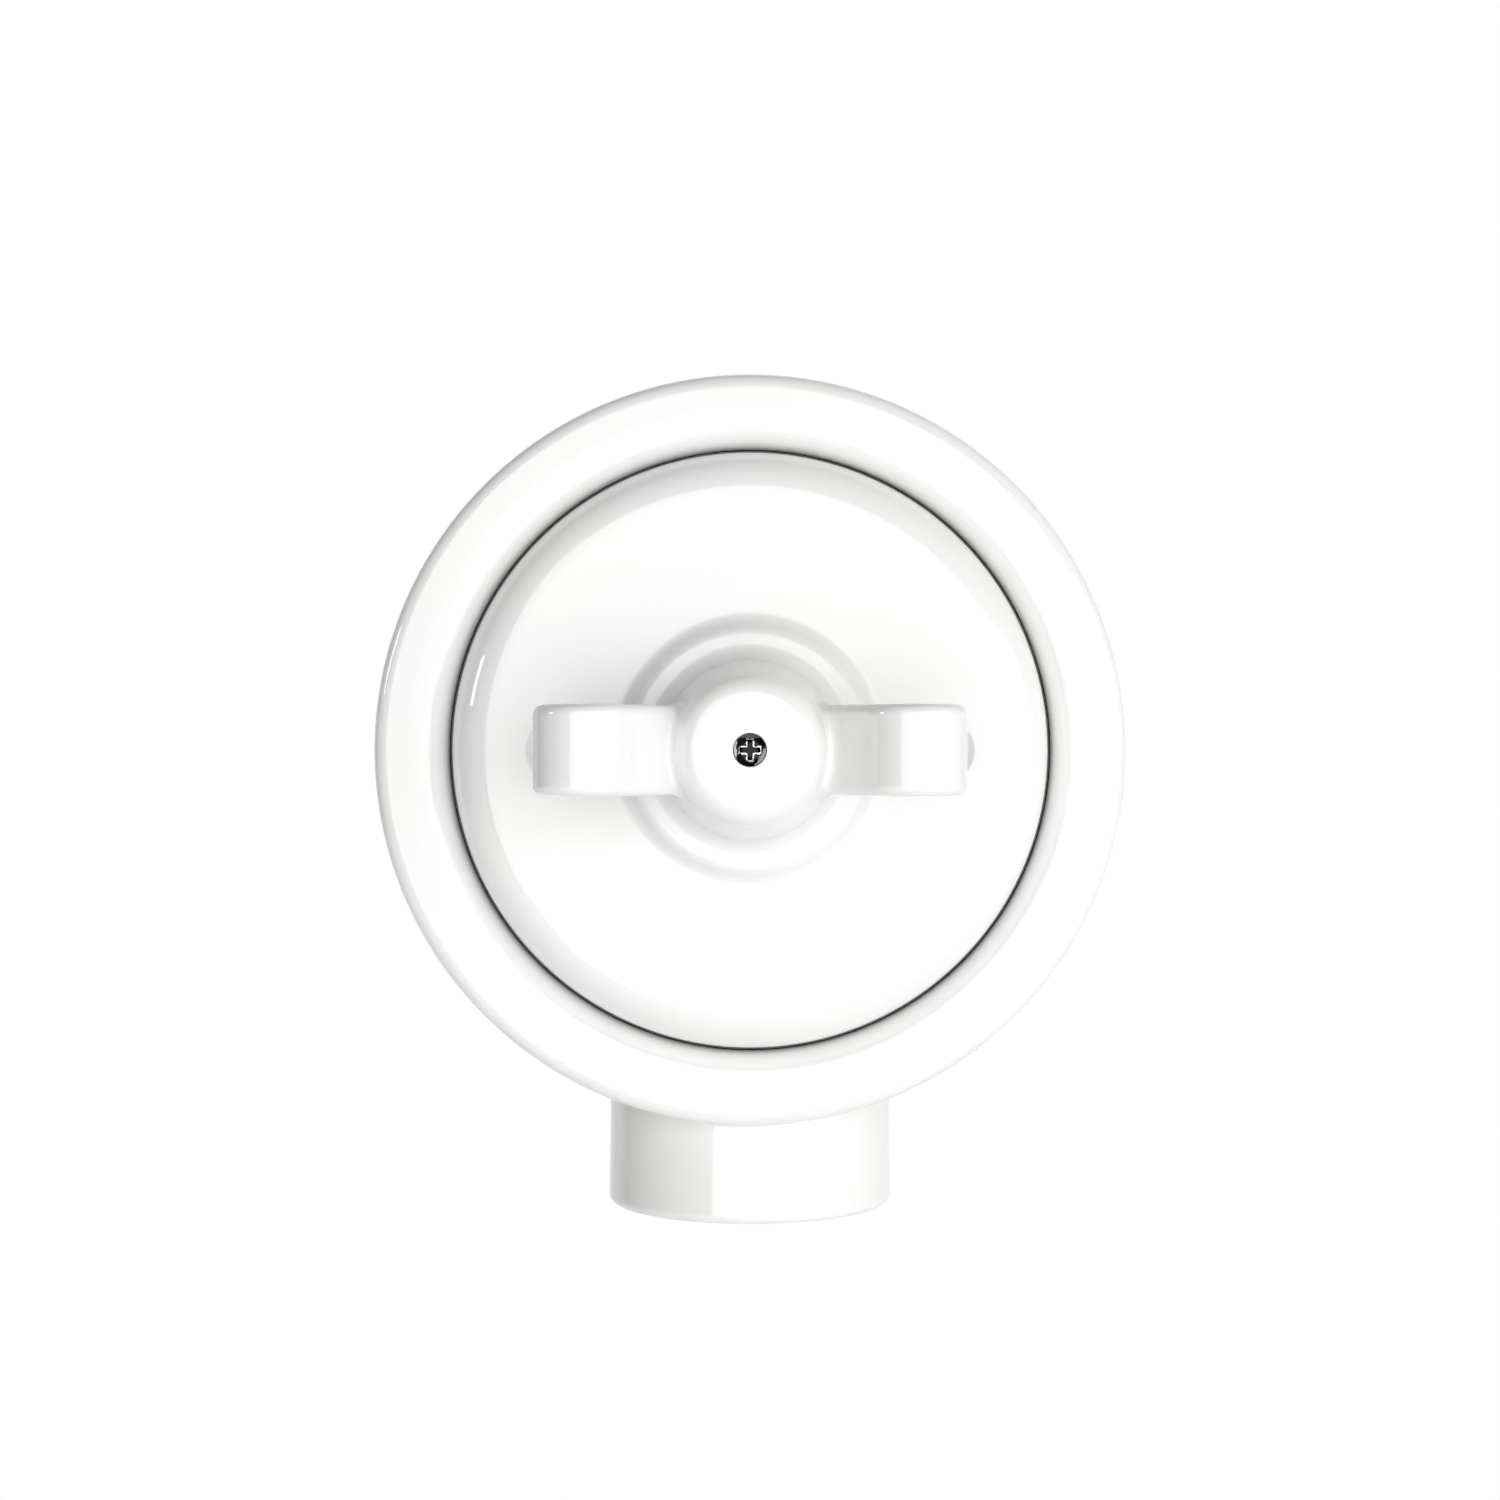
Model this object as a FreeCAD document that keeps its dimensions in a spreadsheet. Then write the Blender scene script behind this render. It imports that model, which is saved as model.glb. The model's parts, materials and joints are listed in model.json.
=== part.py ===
"""Porcelain rotary switch for surface wiring.

A round porcelain box with a conduit spout carries a porcelain cover disc and, behind it, a
ceramic switch block on a steel bridge. A butterfly knob turns the spindle in clicks of 90 degrees.

Every piece is drawn in one drawing frame: x to the right, y up the wall, z out of the wall.
The placement "facing" turns that frame so that the wall side is +Y and the knob points to -Y.
"""
import FreeCAD, Part

import math
import os
from types import SimpleNamespace

import Sketcher
from FreeCAD import Placement, Rotation, Vector

os.makedirs("parts", exist_ok=True)
doc = FreeCAD.newDocument("rotary_switch")

# Driving dimensions, in millimetres. The switch is sized from the inside out: the block and the
# spindle set what is round them, so the box's 100 mm and the collar follow from the values here.
SIZES = {
    # Porcelain box and its front ring
    "box_wall": 7.5,
    "floor_thickness": 5.0,
    "back_rounding": 1.2,
    "cavity_undercut": 2.5,
    "cavity_rounding": 3.0,
    "ledge_width": 3.5,
    "ledge_thickness": 3.5,
    "ledge_slope": 3.0,
    "ring_margin": 4.0,
    "ring_crown_inset": 5.0,
    "ring_crown_rounding": 10.0,
    "ring_edge_drop": 0.6,
    "ring_edge_rounding": 2.3,
    "opening_drop": 0.3,
    "opening_rounding": 3.8,
    # Conduit spout
    "conduit_radius": 12.7,
    "conduit_length": 18.0,
    "conduit_shoulder": 2.7,
    "spout_wall": 7.2,
    "spout_length": 13.7,
    "spout_back_gap": 0.6,
    "spout_rounding": 1.2,
    "spout_root_rounding": 0.8,
    # Bosses with brass inserts, and the two wall screw holes
    "insert_wall": 1.3,
    "insert_length": 10.0,
    "boss_wall": 1.4,
    "boss_gap": 0.8,
    "wall_screw_radius": 2.25,
    "wall_screw_head_radius": 4.5,
    "wall_screw_head_depth": 2.0,
    "wall_screw_gap": 5.0,
    # Cover disc with its moulded collar; collar widths count outwards from the collar's top
    "cover_sink": 7.5,
    "cover_gap": 0.5,
    "cover_rise": 12.0,
    "cover_rim_width": 4.0,
    "cover_plate": 4.5,
    "cover_edge_rounding": 6.2,
    "cover_inner_rounding": 2.5,
    "collar_height": 5.5,
    "collar_land": 2.1,
    "collar_lip_rounding": 0.3,
    "collar_neck_width": 0.6,
    "collar_neck_height": 2.7,
    "collar_neck_rounding": 2.6,
    "collar_shoulder_width": 4.1,
    "collar_shoulder_height": 2.25,
    "collar_shoulder_rounding": 1.6,
    "collar_foot_width": 5.7,
    "collar_foot_rounding": 2.2,
    "nut_recess_gap": 0.6,
    "nut_recess_room": 3.0,
    # Butterfly knob; heights count from the foot of the hub, which overhangs the collar a little
    "knob_gap": 0.3,
    "knob_overhang": 0.1,
    "knob_taper": 2.6,
    "knob_height": 11.5,
    "knob_shoulder_rounding": 3.3,
    "knob_edge_rounding": 0.4,
    "spigot_gap": 0.5,
    "spigot_clip_gap": 0.8,
    "socket_depth": 7.0,
    "ear_length": 15.35,
    "ear_paddle_radius": 6.6,
    "ear_crest": 16.7,
    "ear_width": 11.3,
    "ear_root_inset": 6.6,
    "ear_root_top": 2.1,
    "ear_root_bottom": 0.7,
    "ear_edge_rounding": 1.3,
    "ear_root_rounding": 1.2,
    # Screw that holds the knob
    "knob_screw_radius": 1.25,
    "knob_screw_head_width": 0.8,
    "knob_screw_head_height": 1.9,
    "knob_screw_sink": 0.4,
    "knob_screw_fit": 0.08,
    "knob_screw_length": 10.5,
    "knob_washer_thickness": 0.4,
    "head_clearance": 0.2,
    "cross_slot_width": 0.7,
    "cross_slot_margin": 0.8,
    "cross_slot_depth": 1.0,
    # Mounting bridge and machine screws
    "bridge_thickness": 1.5,
    "bridge_half_width": 12.0,
    "bridge_end": 5.5,
    "bridge_end_gap": 1.0,
    "bridge_corner": 8.0,
    "bridge_slot_travel": 3.0,
    "machine_screw_radius": 1.5,
    "machine_head_width": 1.2,
    "machine_head_height": 2.0,
    "machine_head_rounding": 0.6,
    "machine_screw_end_gap": 2.5,
    "driver_slot_width": 0.8,
    "driver_slot_depth": 0.9,
    "thread_clearance": 0.05,
    "hole_clearance": 0.2,
    # Threaded bush and what is clamped on it; widths count outwards from the bush
    "bush_wall": 2.95,
    "bush_flange_width": 2.0,
    "bush_flange_thickness": 1.0,
    "bush_nut_wall": 1.5,
    "bush_nut_thickness": 3.0,
    "lock_washer_width": 2.5,
    "lock_washer_thickness": 0.6,
    "cover_washer_width": 3.0,
    "cover_washer_thickness": 0.6,
    "cover_nut_width": 2.8,
    "cover_nut_thickness": 2.4,
    "cover_nut_slot_width": 1.8,
    "cover_nut_slot_depth": 1.2,
    # Spindle
    "spindle_radius": 3.0,
    "square_step": 0.7,
    "square_fit": 0.05,
    "spindle_end_clearance": 0.4,
    "running_clearance": 0.05,
    "pivot_step": 1.0,
    "pivot_length": 2.8,
    "clip_groove_depth": 0.5,
    "clip_width": 1.4,
    "clip_thickness": 0.6,
    "clip_opening": 4.0,
    "thrust_washer_width": 2.5,
    "thrust_washer_thickness": 0.7,
    "lid_running_gap": 0.3,
    # Ceramic switch block and its lid; widths count outwards from the cavity
    "block_cavity_radius": 17.0,
    "block_wall": 8.0,
    "block_height": 19.0,
    "block_floor": 4.0,
    "block_back_gap": 3.0,
    "block_screw_inset": 4.0,
    "block_screw_recess": 2.6,
    "lid_seat_width": 1.2,
    "lid_thickness": 2.0,
    "lid_fit": 0.1,
    # Rotor, cam and leaf springs
    "rotor_radius": 8.0,
    "pin_radius": 0.8,
    "pin_length": 15.0,
    "cam_flats": 11.0,
    "cam_lift": 0.7,
    "cam_thickness": 3.0,
    "spring_gap": 0.1,
    "spring_thickness": 0.5,
    "spring_seat": 0.5,
    "spring_width": 2.4,
    "spring_rotor_gap": 0.4,
    # Contacts and terminals
    "contact_thickness": 0.8,
    "contact_width": 6.4,
    "contact_leg_height": 9.0,
    "contact_tail": 4.0,
    "contact_pad_radius": 1.8,
    "contact_pad_height": 0.5,
    "contact_gap": 0.2,
    "wiper_hub_radius": 6.0,
    "wiper_wall_gap": 3.5,
    "wiper_overlap": 2.5,
    "wiper_arm_width": 5.0,
    "notch_clearance": 0.3,
    "terminal_inset": 2.3,
    "terminal_height": 5.5,
    "clamp_size": 6.0,
    "clamp_thickness": 1.0,
    "wire_gap": 0.2,
    "terminal_screw_tail": 1.5,
}

FIRST_TERMINAL_ANGLE = 45
TERMINAL_STEP = 90
TERMINAL_COUNT = 3


class Size:
    """A size in millimetres together with the sheet expression that it comes from."""

    def __init__(self, value, text):
        self.value = value
        self.text = text

    def __add__(self, other):
        other = as_size(other)
        return Size(self.value + other.value, f"({self.text} + {other.text})")

    def __sub__(self, other):
        other = as_size(other)
        return Size(self.value - other.value, f"({self.text} - {other.text})")

    def __mul__(self, factor):
        return Size(self.value * factor, f"({self.text} * {factor})")

    def __truediv__(self, divisor):
        return Size(self.value / divisor, f"({self.text} / {divisor})")

    def __neg__(self):
        return Size(-self.value, f"(-1 * {self.text})")


def as_size(number):
    """A plain number as a size without a cell of its own."""
    return number if isinstance(number, Size) else Size(number, str(number))


def fill_sheet(sizes):
    """Put each driving dimension in the sheet under its own name."""
    sheet = doc.addObject("Spreadsheet::Sheet", "Sizes")
    for row, (name, value) in enumerate(sizes.items(), start=1):
        sheet.set(f"A{row}", name)
        sheet.set(f"B{row}", str(value))
        sheet.setAlias(f"B{row}", name)
    doc.recompute()
    return SimpleNamespace(**{name: Size(value, f"Sizes.{name}") for name, value in sizes.items()})


s = fill_sheet(SIZES)
facing = Placement(Vector(0, 0, 0), Rotation(Vector(1, 0, 0), 90))
pieces = []


# Tools for drawing and shaping

def new_piece(name, turned=0, several=False):
    """An empty body in the drawing frame, turned about the switch's axis by some degrees."""
    body = doc.addObject("PartDesign::Body", name)
    body.Label = name
    body.AllowCompound = several
    body.Placement = facing * Placement(Vector(0, 0, 0), Rotation(Vector(0, 0, 1), turned))
    pieces.append(body)
    return body


def origin_part(body, role):
    """One of the body's own origin planes or axes."""
    return next(part for part in body.Origin.OriginFeatures if part.Role == role)


def new_sketch(body, name, plane, lift=0, turned=0):
    """A sketch on an origin plane, lifted along the plane's normal and turned in the plane."""
    lift = as_size(lift)
    sketch = body.newObject("Sketcher::SketchObject", f"{body.Label}_{name}")
    sketch.AttachmentSupport = [(origin_part(body, plane), "")]
    sketch.MapMode = "FlatFace"
    sketch.AttachmentOffset = Placement(Vector(0, 0, lift.value), Rotation(Vector(0, 0, 1), turned))
    sketch.setExpression(".AttachmentOffset.Base.z", lift.text)
    return sketch


def tie(sketch, kind, size, *ends):
    """Add one dimension to the sketch and bind it to its size."""
    index = sketch.addConstraint(Sketcher.Constraint(kind, *ends, size.value))
    sketch.setExpression(f"Constraints[{index}]", size.text)


def place_point(sketch, line, end, x, y):
    """Hold one point of the sketch at its distances from the origin, or on an axis."""
    for kind, size, axis in (("DistanceX", as_size(x), -2), ("DistanceY", as_size(y), -1)):
        if size.value == 0:
            sketch.addConstraint(Sketcher.Constraint("PointOnObject", line, end, axis))
        else:
            tie(sketch, kind, size, -1, 1, line, end)


def corner_arc(before, corner, after, radius):
    """The arc that rounds a corner, with the points where it starts and ends."""
    back = (before - corner).normalize()
    onward = (after - corner).normalize()
    half_angle = back.getAngle(onward) / 2
    start = corner + back * (radius / math.tan(half_angle))
    end = corner + onward * (radius / math.tan(half_angle))
    centre = corner + (back + onward).normalize() * (radius / math.sin(half_angle))
    turns_left = back.cross(onward).z < 0
    first, last = (start, end) if turns_left else (end, start)
    angles = [math.atan2(point.y - centre.y, point.x - centre.x) for point in (first, last)]
    if angles[1] < angles[0]:
        angles[1] += 2 * math.pi
    arc = Part.ArcOfCircle(Part.Circle(centre, Vector(0, 0, 1), radius), *angles)
    return arc, start, end, turns_left


def draw_outline(sketch, *corners):
    """A closed outline: each corner is (x, y), or (x, y, rounding) for a rounded one."""
    spots = [Vector(as_size(corner[0]).value, as_size(corner[1]).value, 0) for corner in corners]
    count = len(corners)
    arcs = {}
    arrive = list(spots)
    leave = list(spots)
    for index, corner in enumerate(corners):
        if len(corner) == 3:
            after = spots[(index + 1) % count]
            found = corner_arc(spots[index - 1], spots[index], after, corner[2].value)
            arcs[index] = found
            arrive[index] = found[1]
            leave[index] = found[2]
    lines = []
    for index in range(count):
        line = Part.LineSegment(leave[index], arrive[(index + 1) % count])
        lines.append(sketch.addGeometry(line, False))
    for index, corner in enumerate(corners):
        line_in = lines[index - 1]
        line_out = lines[index]
        if index not in arcs:
            sketch.addConstraint(Sketcher.Constraint("Coincident", line_in, 2, line_out, 1))
            place_point(sketch, line_out, 1, corner[0], corner[1])
            continue
        arc, _, _, turns_left = arcs[index]
        start_end, finish_end = (1, 2) if turns_left else (2, 1)
        curve = sketch.addGeometry(arc, False)
        sketch.addConstraint(Sketcher.Constraint("Tangent", line_in, 2, curve, start_end))
        sketch.addConstraint(Sketcher.Constraint("Tangent", curve, finish_end, line_out, 1))
        tie(sketch, "Radius", corner[2], curve)
        tip = sketch.addGeometry(Part.Point(spots[index]), True)
        sketch.addConstraint(Sketcher.Constraint("PointOnObject", tip, 1, line_in))
        sketch.addConstraint(Sketcher.Constraint("PointOnObject", tip, 1, line_out))
        place_point(sketch, tip, 1, corner[0], corner[1])


def draw_circle(sketch, radius, x=0, y=0):
    """A circle with its centre at (x, y)."""
    centre = Vector(as_size(x).value, as_size(y).value, 0)
    circle = sketch.addGeometry(Part.Circle(centre, Vector(0, 0, 1), radius.value), False)
    tie(sketch, "Radius", radius, circle)
    place_point(sketch, circle, 3, x, y)


def draw_box(sketch, half_width, half_height, x=0, y=0):
    """A rectangle about (x, y)."""
    left = as_size(x) - half_width
    right = as_size(x) + half_width
    low = as_size(y) - half_height
    high = as_size(y) + half_height
    draw_outline(sketch, (left, low), (right, low), (right, high), (left, high))


def feature(body, kind, name, sketch):
    """A feature of the body made from a sketch."""
    made = body.newObject(f"PartDesign::{kind}", f"{body.Label}_{name}")
    made.Profile = sketch
    return made


def pad(body, name, sketch, length, backward=False, centred=False):
    """Material added square to the sketch."""
    made = feature(body, "Pad", name, sketch)
    made.SideType = "Symmetric" if centred else "One side"
    made.Length = length.value
    made.setExpression("Length", length.text)
    made.Reversed = backward
    doc.recompute()
    return made


def pocket(body, name, sketch, length, backward=False, centred=False):
    """Material cut away square to the sketch, against its normal unless backward."""
    before = body.Shape.Volume
    made = feature(body, "Pocket", name, sketch)
    made.SideType = "Symmetric" if centred else "One side"
    made.Length = length.value
    made.setExpression("Length", length.text)
    made.Reversed = backward
    doc.recompute()
    if not body.Shape.Volume < before:
        raise ValueError(f"{made.Label} cuts nothing")
    return made


def turned_solid(body, name, sketch):
    """A solid of revolution about the switch's axis."""
    made = feature(body, "Revolution", name, sketch)
    made.ReferenceAxis = (sketch, ["V_Axis"])
    made.Angle = 360
    doc.recompute()
    return made


def turned_cut(body, name, sketch):
    """A groove or hollow turned about the switch's axis."""
    before = body.Shape.Volume
    made = feature(body, "Groove", name, sketch)
    made.ReferenceAxis = (sketch, ["V_Axis"])
    made.Angle = 360
    doc.recompute()
    if not body.Shape.Volume < before:
        raise ValueError(f"{made.Label} cuts nothing")
    return made


def mirrored(body, name, originals, plane):
    """The same features again on the other side of an origin plane."""
    made = body.newObject("PartDesign::Mirrored", f"{body.Label}_{name}")
    made.Originals = originals
    made.MirrorPlane = (origin_part(body, plane), [""])
    body.Tip = made
    doc.recompute()
    return made


def repeated(body, name, originals, count, angle):
    """The same features again about the switch's axis, spread over an angle."""
    made = body.newObject("PartDesign::PolarPattern", f"{body.Label}_{name}")
    made.Originals = originals
    made.Axis = (origin_part(body, "Z_Axis"), [""])
    made.Occurrences = count
    made.Angle = angle
    body.Tip = made
    doc.recompute()
    return made


def rounded(body, name, radius, choose):
    """Round each edge of the body for which choose(edge) is true."""
    base = body.Tip
    names = [f"Edge{number}" for number, edge in enumerate(base.Shape.Edges, start=1) if choose(edge)]
    if not names:
        raise ValueError(f"{body.Label}_{name} finds no edge")
    made = body.newObject("PartDesign::Fillet", f"{body.Label}_{name}")
    made.Base = (base, names)
    made.Radius = radius.value
    made.setExpression("Radius", radius.text)
    doc.recompute()
    return made


def along(edge, steps=8):
    """Points spread over an edge."""
    first, last = edge.ParameterRange
    return [edge.valueAt(first + (last - first) * step / steps) for step in range(steps + 1)]


def near(value, size, tolerance=0.01):
    """Whether a measured value is a size."""
    return abs(value - size.value) < tolerance


def tube(name, inner, outer, bottom, thickness):
    """A plain washer or ring about the switch's axis."""
    body = new_piece(name)
    sketch = new_sketch(body, "ring", "XY_Plane", bottom)
    draw_circle(sketch, outer)
    draw_circle(sketch, inner)
    pad(body, "thickness", sketch, thickness)
    return body


# Radii and distances that follow from the driving dimensions, from the middle outwards

machine_head_radius = s.machine_screw_radius + s.machine_head_width
machine_hole_radius = s.machine_screw_radius + s.hole_clearance
machine_thread_radius = s.machine_screw_radius + s.thread_clearance
insert_radius = s.machine_screw_radius + s.insert_wall
boss_radius = insert_radius + s.boss_wall

wiper_arm_reach = s.block_cavity_radius - s.wiper_wall_gap
contact_pad_place = wiper_arm_reach - s.wiper_overlap
contact_inner = contact_pad_place - s.contact_tail
lid_radius = s.block_cavity_radius + s.lid_seat_width
spring_half_length = s.block_cavity_radius + s.spring_seat
block_screw_place = s.block_cavity_radius + s.block_screw_inset
block_radius = s.block_cavity_radius + s.block_wall
contact_outer = block_radius - s.terminal_inset
wall_screw_place = block_radius + s.wall_screw_gap
boss_place = block_radius + s.boss_gap + boss_radius
bridge_half_length = boss_place + s.bridge_end
ledge_radius = bridge_half_length + s.bridge_end_gap
opening_radius = ledge_radius + s.ledge_width
cavity_radius = opening_radius + s.cavity_undercut
box_radius = cavity_radius + s.box_wall
cover_radius = opening_radius - s.cover_gap

half_square = s.spindle_radius - s.square_step
square_hole_half = half_square + s.square_fit
pivot_radius = s.spindle_radius - s.pivot_step
clip_groove_radius = s.spindle_radius - s.clip_groove_depth
clip_radius = s.spindle_radius + s.clip_width
thrust_washer_radius = s.spindle_radius + s.thrust_washer_width
bush_bore = s.spindle_radius + s.running_clearance
bush_radius = bush_bore + s.bush_wall
bush_hole = bush_radius + s.hole_clearance
bush_thread_radius = bush_radius + s.thread_clearance
cover_nut_radius = bush_radius + s.cover_nut_width
nut_recess_radius = cover_nut_radius + s.nut_recess_gap
collar_top_radius = nut_recess_radius + s.collar_land
knob_base_radius = collar_top_radius + s.knob_overhang
knob_screw_head_radius = s.knob_screw_radius + s.knob_screw_head_width
cam_corner_radius = s.cam_flats / 2 + s.cam_lift
spring_place = cam_corner_radius + s.spring_gap

spout_radius = s.conduit_radius + s.spout_wall
spout_reach = box_radius + s.spout_length

# Depths, counted from the wall outwards

spout_depth = spout_radius + s.spout_back_gap
box_depth = spout_depth * 2 + s.ring_margin
cover_seat = box_depth - s.cover_sink
cover_front = cover_seat + s.cover_rise
collar_top = cover_front + s.collar_height
nut_recess_depth = s.cover_washer_thickness + s.cover_nut_thickness + s.nut_recess_room
nut_recess_floor = collar_top - nut_recess_depth
cover_nut_back = nut_recess_floor + s.cover_washer_thickness
bush_front = cover_nut_back + s.cover_nut_thickness

block_back = s.floor_thickness + s.block_back_gap
bridge_seat = block_back + s.block_height
bridge_front = bridge_seat + s.bridge_thickness
bush_flange_back = bridge_seat - s.bush_flange_thickness
lid_back = bush_flange_back - s.lid_thickness
block_floor_face = block_back + s.block_floor
terminal_depth = block_floor_face + s.terminal_height
terminal_clamp_back = contact_outer + s.wire_gap

contact_face = block_floor_face + s.contact_thickness
wiper_back = contact_face + s.contact_pad_height + s.contact_gap
wiper_front = wiper_back + s.contact_thickness
thrust_washer_back = lid_back - s.lid_running_gap - s.thrust_washer_thickness
cam_back = thrust_washer_back - s.cam_thickness
pin_depth = (wiper_front + cam_back) / 2
spring_back = cam_back + s.spring_rotor_gap

knob_base = collar_top + s.knob_gap
knob_top = knob_base + s.knob_height
clip_back = bush_front + s.hole_clearance
knob_spigot_back = clip_back + s.clip_thickness + s.spigot_clip_gap
socket_top = knob_spigot_back + s.socket_depth
spindle_pivot_shoulder = block_floor_face + s.spindle_end_clearance
spindle_back = spindle_pivot_shoulder - s.pivot_length - s.spindle_end_clearance
spindle_front = socket_top - s.spindle_end_clearance
knob_screw_head_top = knob_top - s.knob_screw_sink
knob_screw_head_back = knob_screw_head_top - s.knob_screw_head_height
knob_screw_seat = knob_screw_head_back - s.knob_washer_thickness
knob_screw_end = knob_screw_head_back - s.knob_screw_length


# Porcelain box

def make_box():
    """The box: one turned piece with a spout, bosses inside and a ledge that carries the cover."""
    body = new_piece("base_box")

    # Outside: the wall, the gently crowned front ring and, inside it, the plane of the ledge.
    ring_edge = box_depth - s.ring_edge_drop
    outside = new_sketch(body, "outside", "XZ_Plane")
    draw_outline(
        outside,
        (0, 0),
        (box_radius, 0, s.back_rounding),
        (box_radius, ring_edge, s.ring_edge_rounding),
        (box_radius - s.ring_crown_inset, box_depth, s.ring_crown_rounding),
        (opening_radius, box_depth - s.opening_drop, s.opening_rounding),
        (opening_radius, cover_seat),
        (0, cover_seat),
    )
    turned_solid(body, "form", outside)

    # The spout starts level with the opening, so that its root lies wholly inside the wall.
    spout = new_sketch(body, "spout", "XZ_Plane", opening_radius)
    draw_circle(spout, spout_radius, 0, spout_depth)
    pad(body, "spout_form", spout, spout_reach - opening_radius)

    # Inside: the wiring room, closed in towards the front by the ledge under the cover.
    ledge_back = cover_seat - s.ledge_thickness
    inside = new_sketch(body, "inside", "XZ_Plane")
    draw_outline(
        inside,
        (0, s.floor_thickness),
        (cavity_radius, s.floor_thickness, s.cavity_rounding),
        (cavity_radius, ledge_back - s.ledge_slope),
        (ledge_radius, ledge_back),
        (ledge_radius, box_depth),
        (0, box_depth),
    )
    turned_cut(body, "wiring_room", inside)

    # The conduit pushes into the spout as far as a shoulder, and a smaller hole leads the wires in.
    conduit = new_sketch(body, "conduit", "XZ_Plane", spout_reach)
    draw_circle(conduit, s.conduit_radius, 0, spout_depth)
    pocket(body, "conduit_bore", conduit, s.conduit_length)
    cable = new_sketch(body, "cable", "XZ_Plane", spout_reach)
    cable_hole_radius = s.conduit_radius - s.conduit_shoulder
    draw_circle(cable, cable_hole_radius, 0, spout_depth)
    cable_run = spout_reach - cavity_radius + cable_hole_radius / 2
    pocket(body, "cable_hole", cable, cable_run)

    # Two bosses carry the bridge, each with a blind hole for a brass insert.
    boss = new_sketch(body, "boss", "XY_Plane", s.floor_thickness)
    draw_circle(boss, boss_radius, boss_place, 0)
    boss_pad = pad(body, "boss_form", boss, bridge_seat - s.floor_thickness)
    mirrored(body, "boss_pair", [boss_pad], "YZ_Plane")
    blind = new_sketch(body, "insert_hole", "XY_Plane", bridge_seat)
    draw_circle(blind, insert_radius + s.thread_clearance, boss_place, 0)
    blind_cut = pocket(body, "insert_cut", blind, s.insert_length + s.hole_clearance)
    mirrored(body, "insert_pair", [blind_cut], "YZ_Plane")

    # Two holes through the back for the wall screws, with room for their heads.
    shank = new_sketch(body, "wall_hole", "XY_Plane", s.floor_thickness)
    draw_circle(shank, s.wall_screw_radius, 0, wall_screw_place)
    shank_cut = pocket(body, "wall_hole_cut", shank, s.floor_thickness)
    head = new_sketch(body, "wall_head", "XY_Plane", s.floor_thickness)
    draw_circle(head, s.wall_screw_head_radius, 0, wall_screw_place)
    head_cut = pocket(body, "wall_head_cut", head, s.wall_screw_head_depth)
    mirrored(body, "wall_hole_pair", [shank_cut, head_cut], "XZ_Plane")

    # The spout's lip and its foot on the wall are rounded last.
    def on_spout(point):
        return near(math.hypot(point.x, point.z - spout_depth.value), spout_radius)

    def on_wall(point):
        return near(math.hypot(point.x, point.y), box_radius)

    def on_spout_mouth(edge):
        return all(on_spout(point) and near(-point.y, spout_reach) for point in along(edge))

    def on_spout_root(edge):
        return all(on_spout(point) and on_wall(point) for point in along(edge))

    rounded(body, "spout_lip", s.spout_rounding, on_spout_mouth)
    rounded(body, "spout_foot", s.spout_root_rounding, on_spout_root)


def make_inserts():
    """Two brass inserts, set in the bosses."""
    body = new_piece("boss_inserts", several=True)
    ring = new_sketch(body, "ring", "XY_Plane", bridge_seat)
    draw_circle(ring, insert_radius, boss_place, 0)
    draw_circle(ring, machine_thread_radius, boss_place, 0)
    form = pad(body, "form", ring, s.insert_length, backward=True)
    mirrored(body, "pair", [form], "YZ_Plane")


# Cover disc

def make_cover():
    """The cover: a shallow porcelain cap with a soft edge and a moulded collar for the knob."""
    body = new_piece("cover_disc")
    plate_back = cover_front - s.cover_plate
    rim_inside = cover_radius - s.cover_rim_width
    foot = collar_top_radius + s.collar_foot_width
    shoulder = collar_top_radius + s.collar_shoulder_width
    neck = collar_top_radius + s.collar_neck_width
    section = new_sketch(body, "section", "XZ_Plane")
    draw_outline(
        section,
        (bush_hole, plate_back),
        (rim_inside, plate_back, s.cover_inner_rounding),
        (rim_inside, cover_seat),
        (cover_radius, cover_seat),
        (cover_radius, cover_front, s.cover_edge_rounding),
        (foot, cover_front, s.collar_foot_rounding),
        (shoulder, cover_front + s.collar_shoulder_height, s.collar_shoulder_rounding),
        (neck, cover_front + s.collar_neck_height, s.collar_neck_rounding),
        (collar_top_radius, collar_top, s.collar_lip_rounding),
        (nut_recess_radius, collar_top, s.collar_lip_rounding),
        (nut_recess_radius, nut_recess_floor),
        (bush_hole, nut_recess_floor),
    )
    turned_solid(body, "form", section)


# Butterfly knob and its screw

def ear_tangent(point, centre, radius, side):
    """Angle on the paddle's circle where a line from an outside point touches it."""
    away = point - centre
    return math.atan2(away.y, away.x) + side * math.acos(radius / away.Length)


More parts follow.
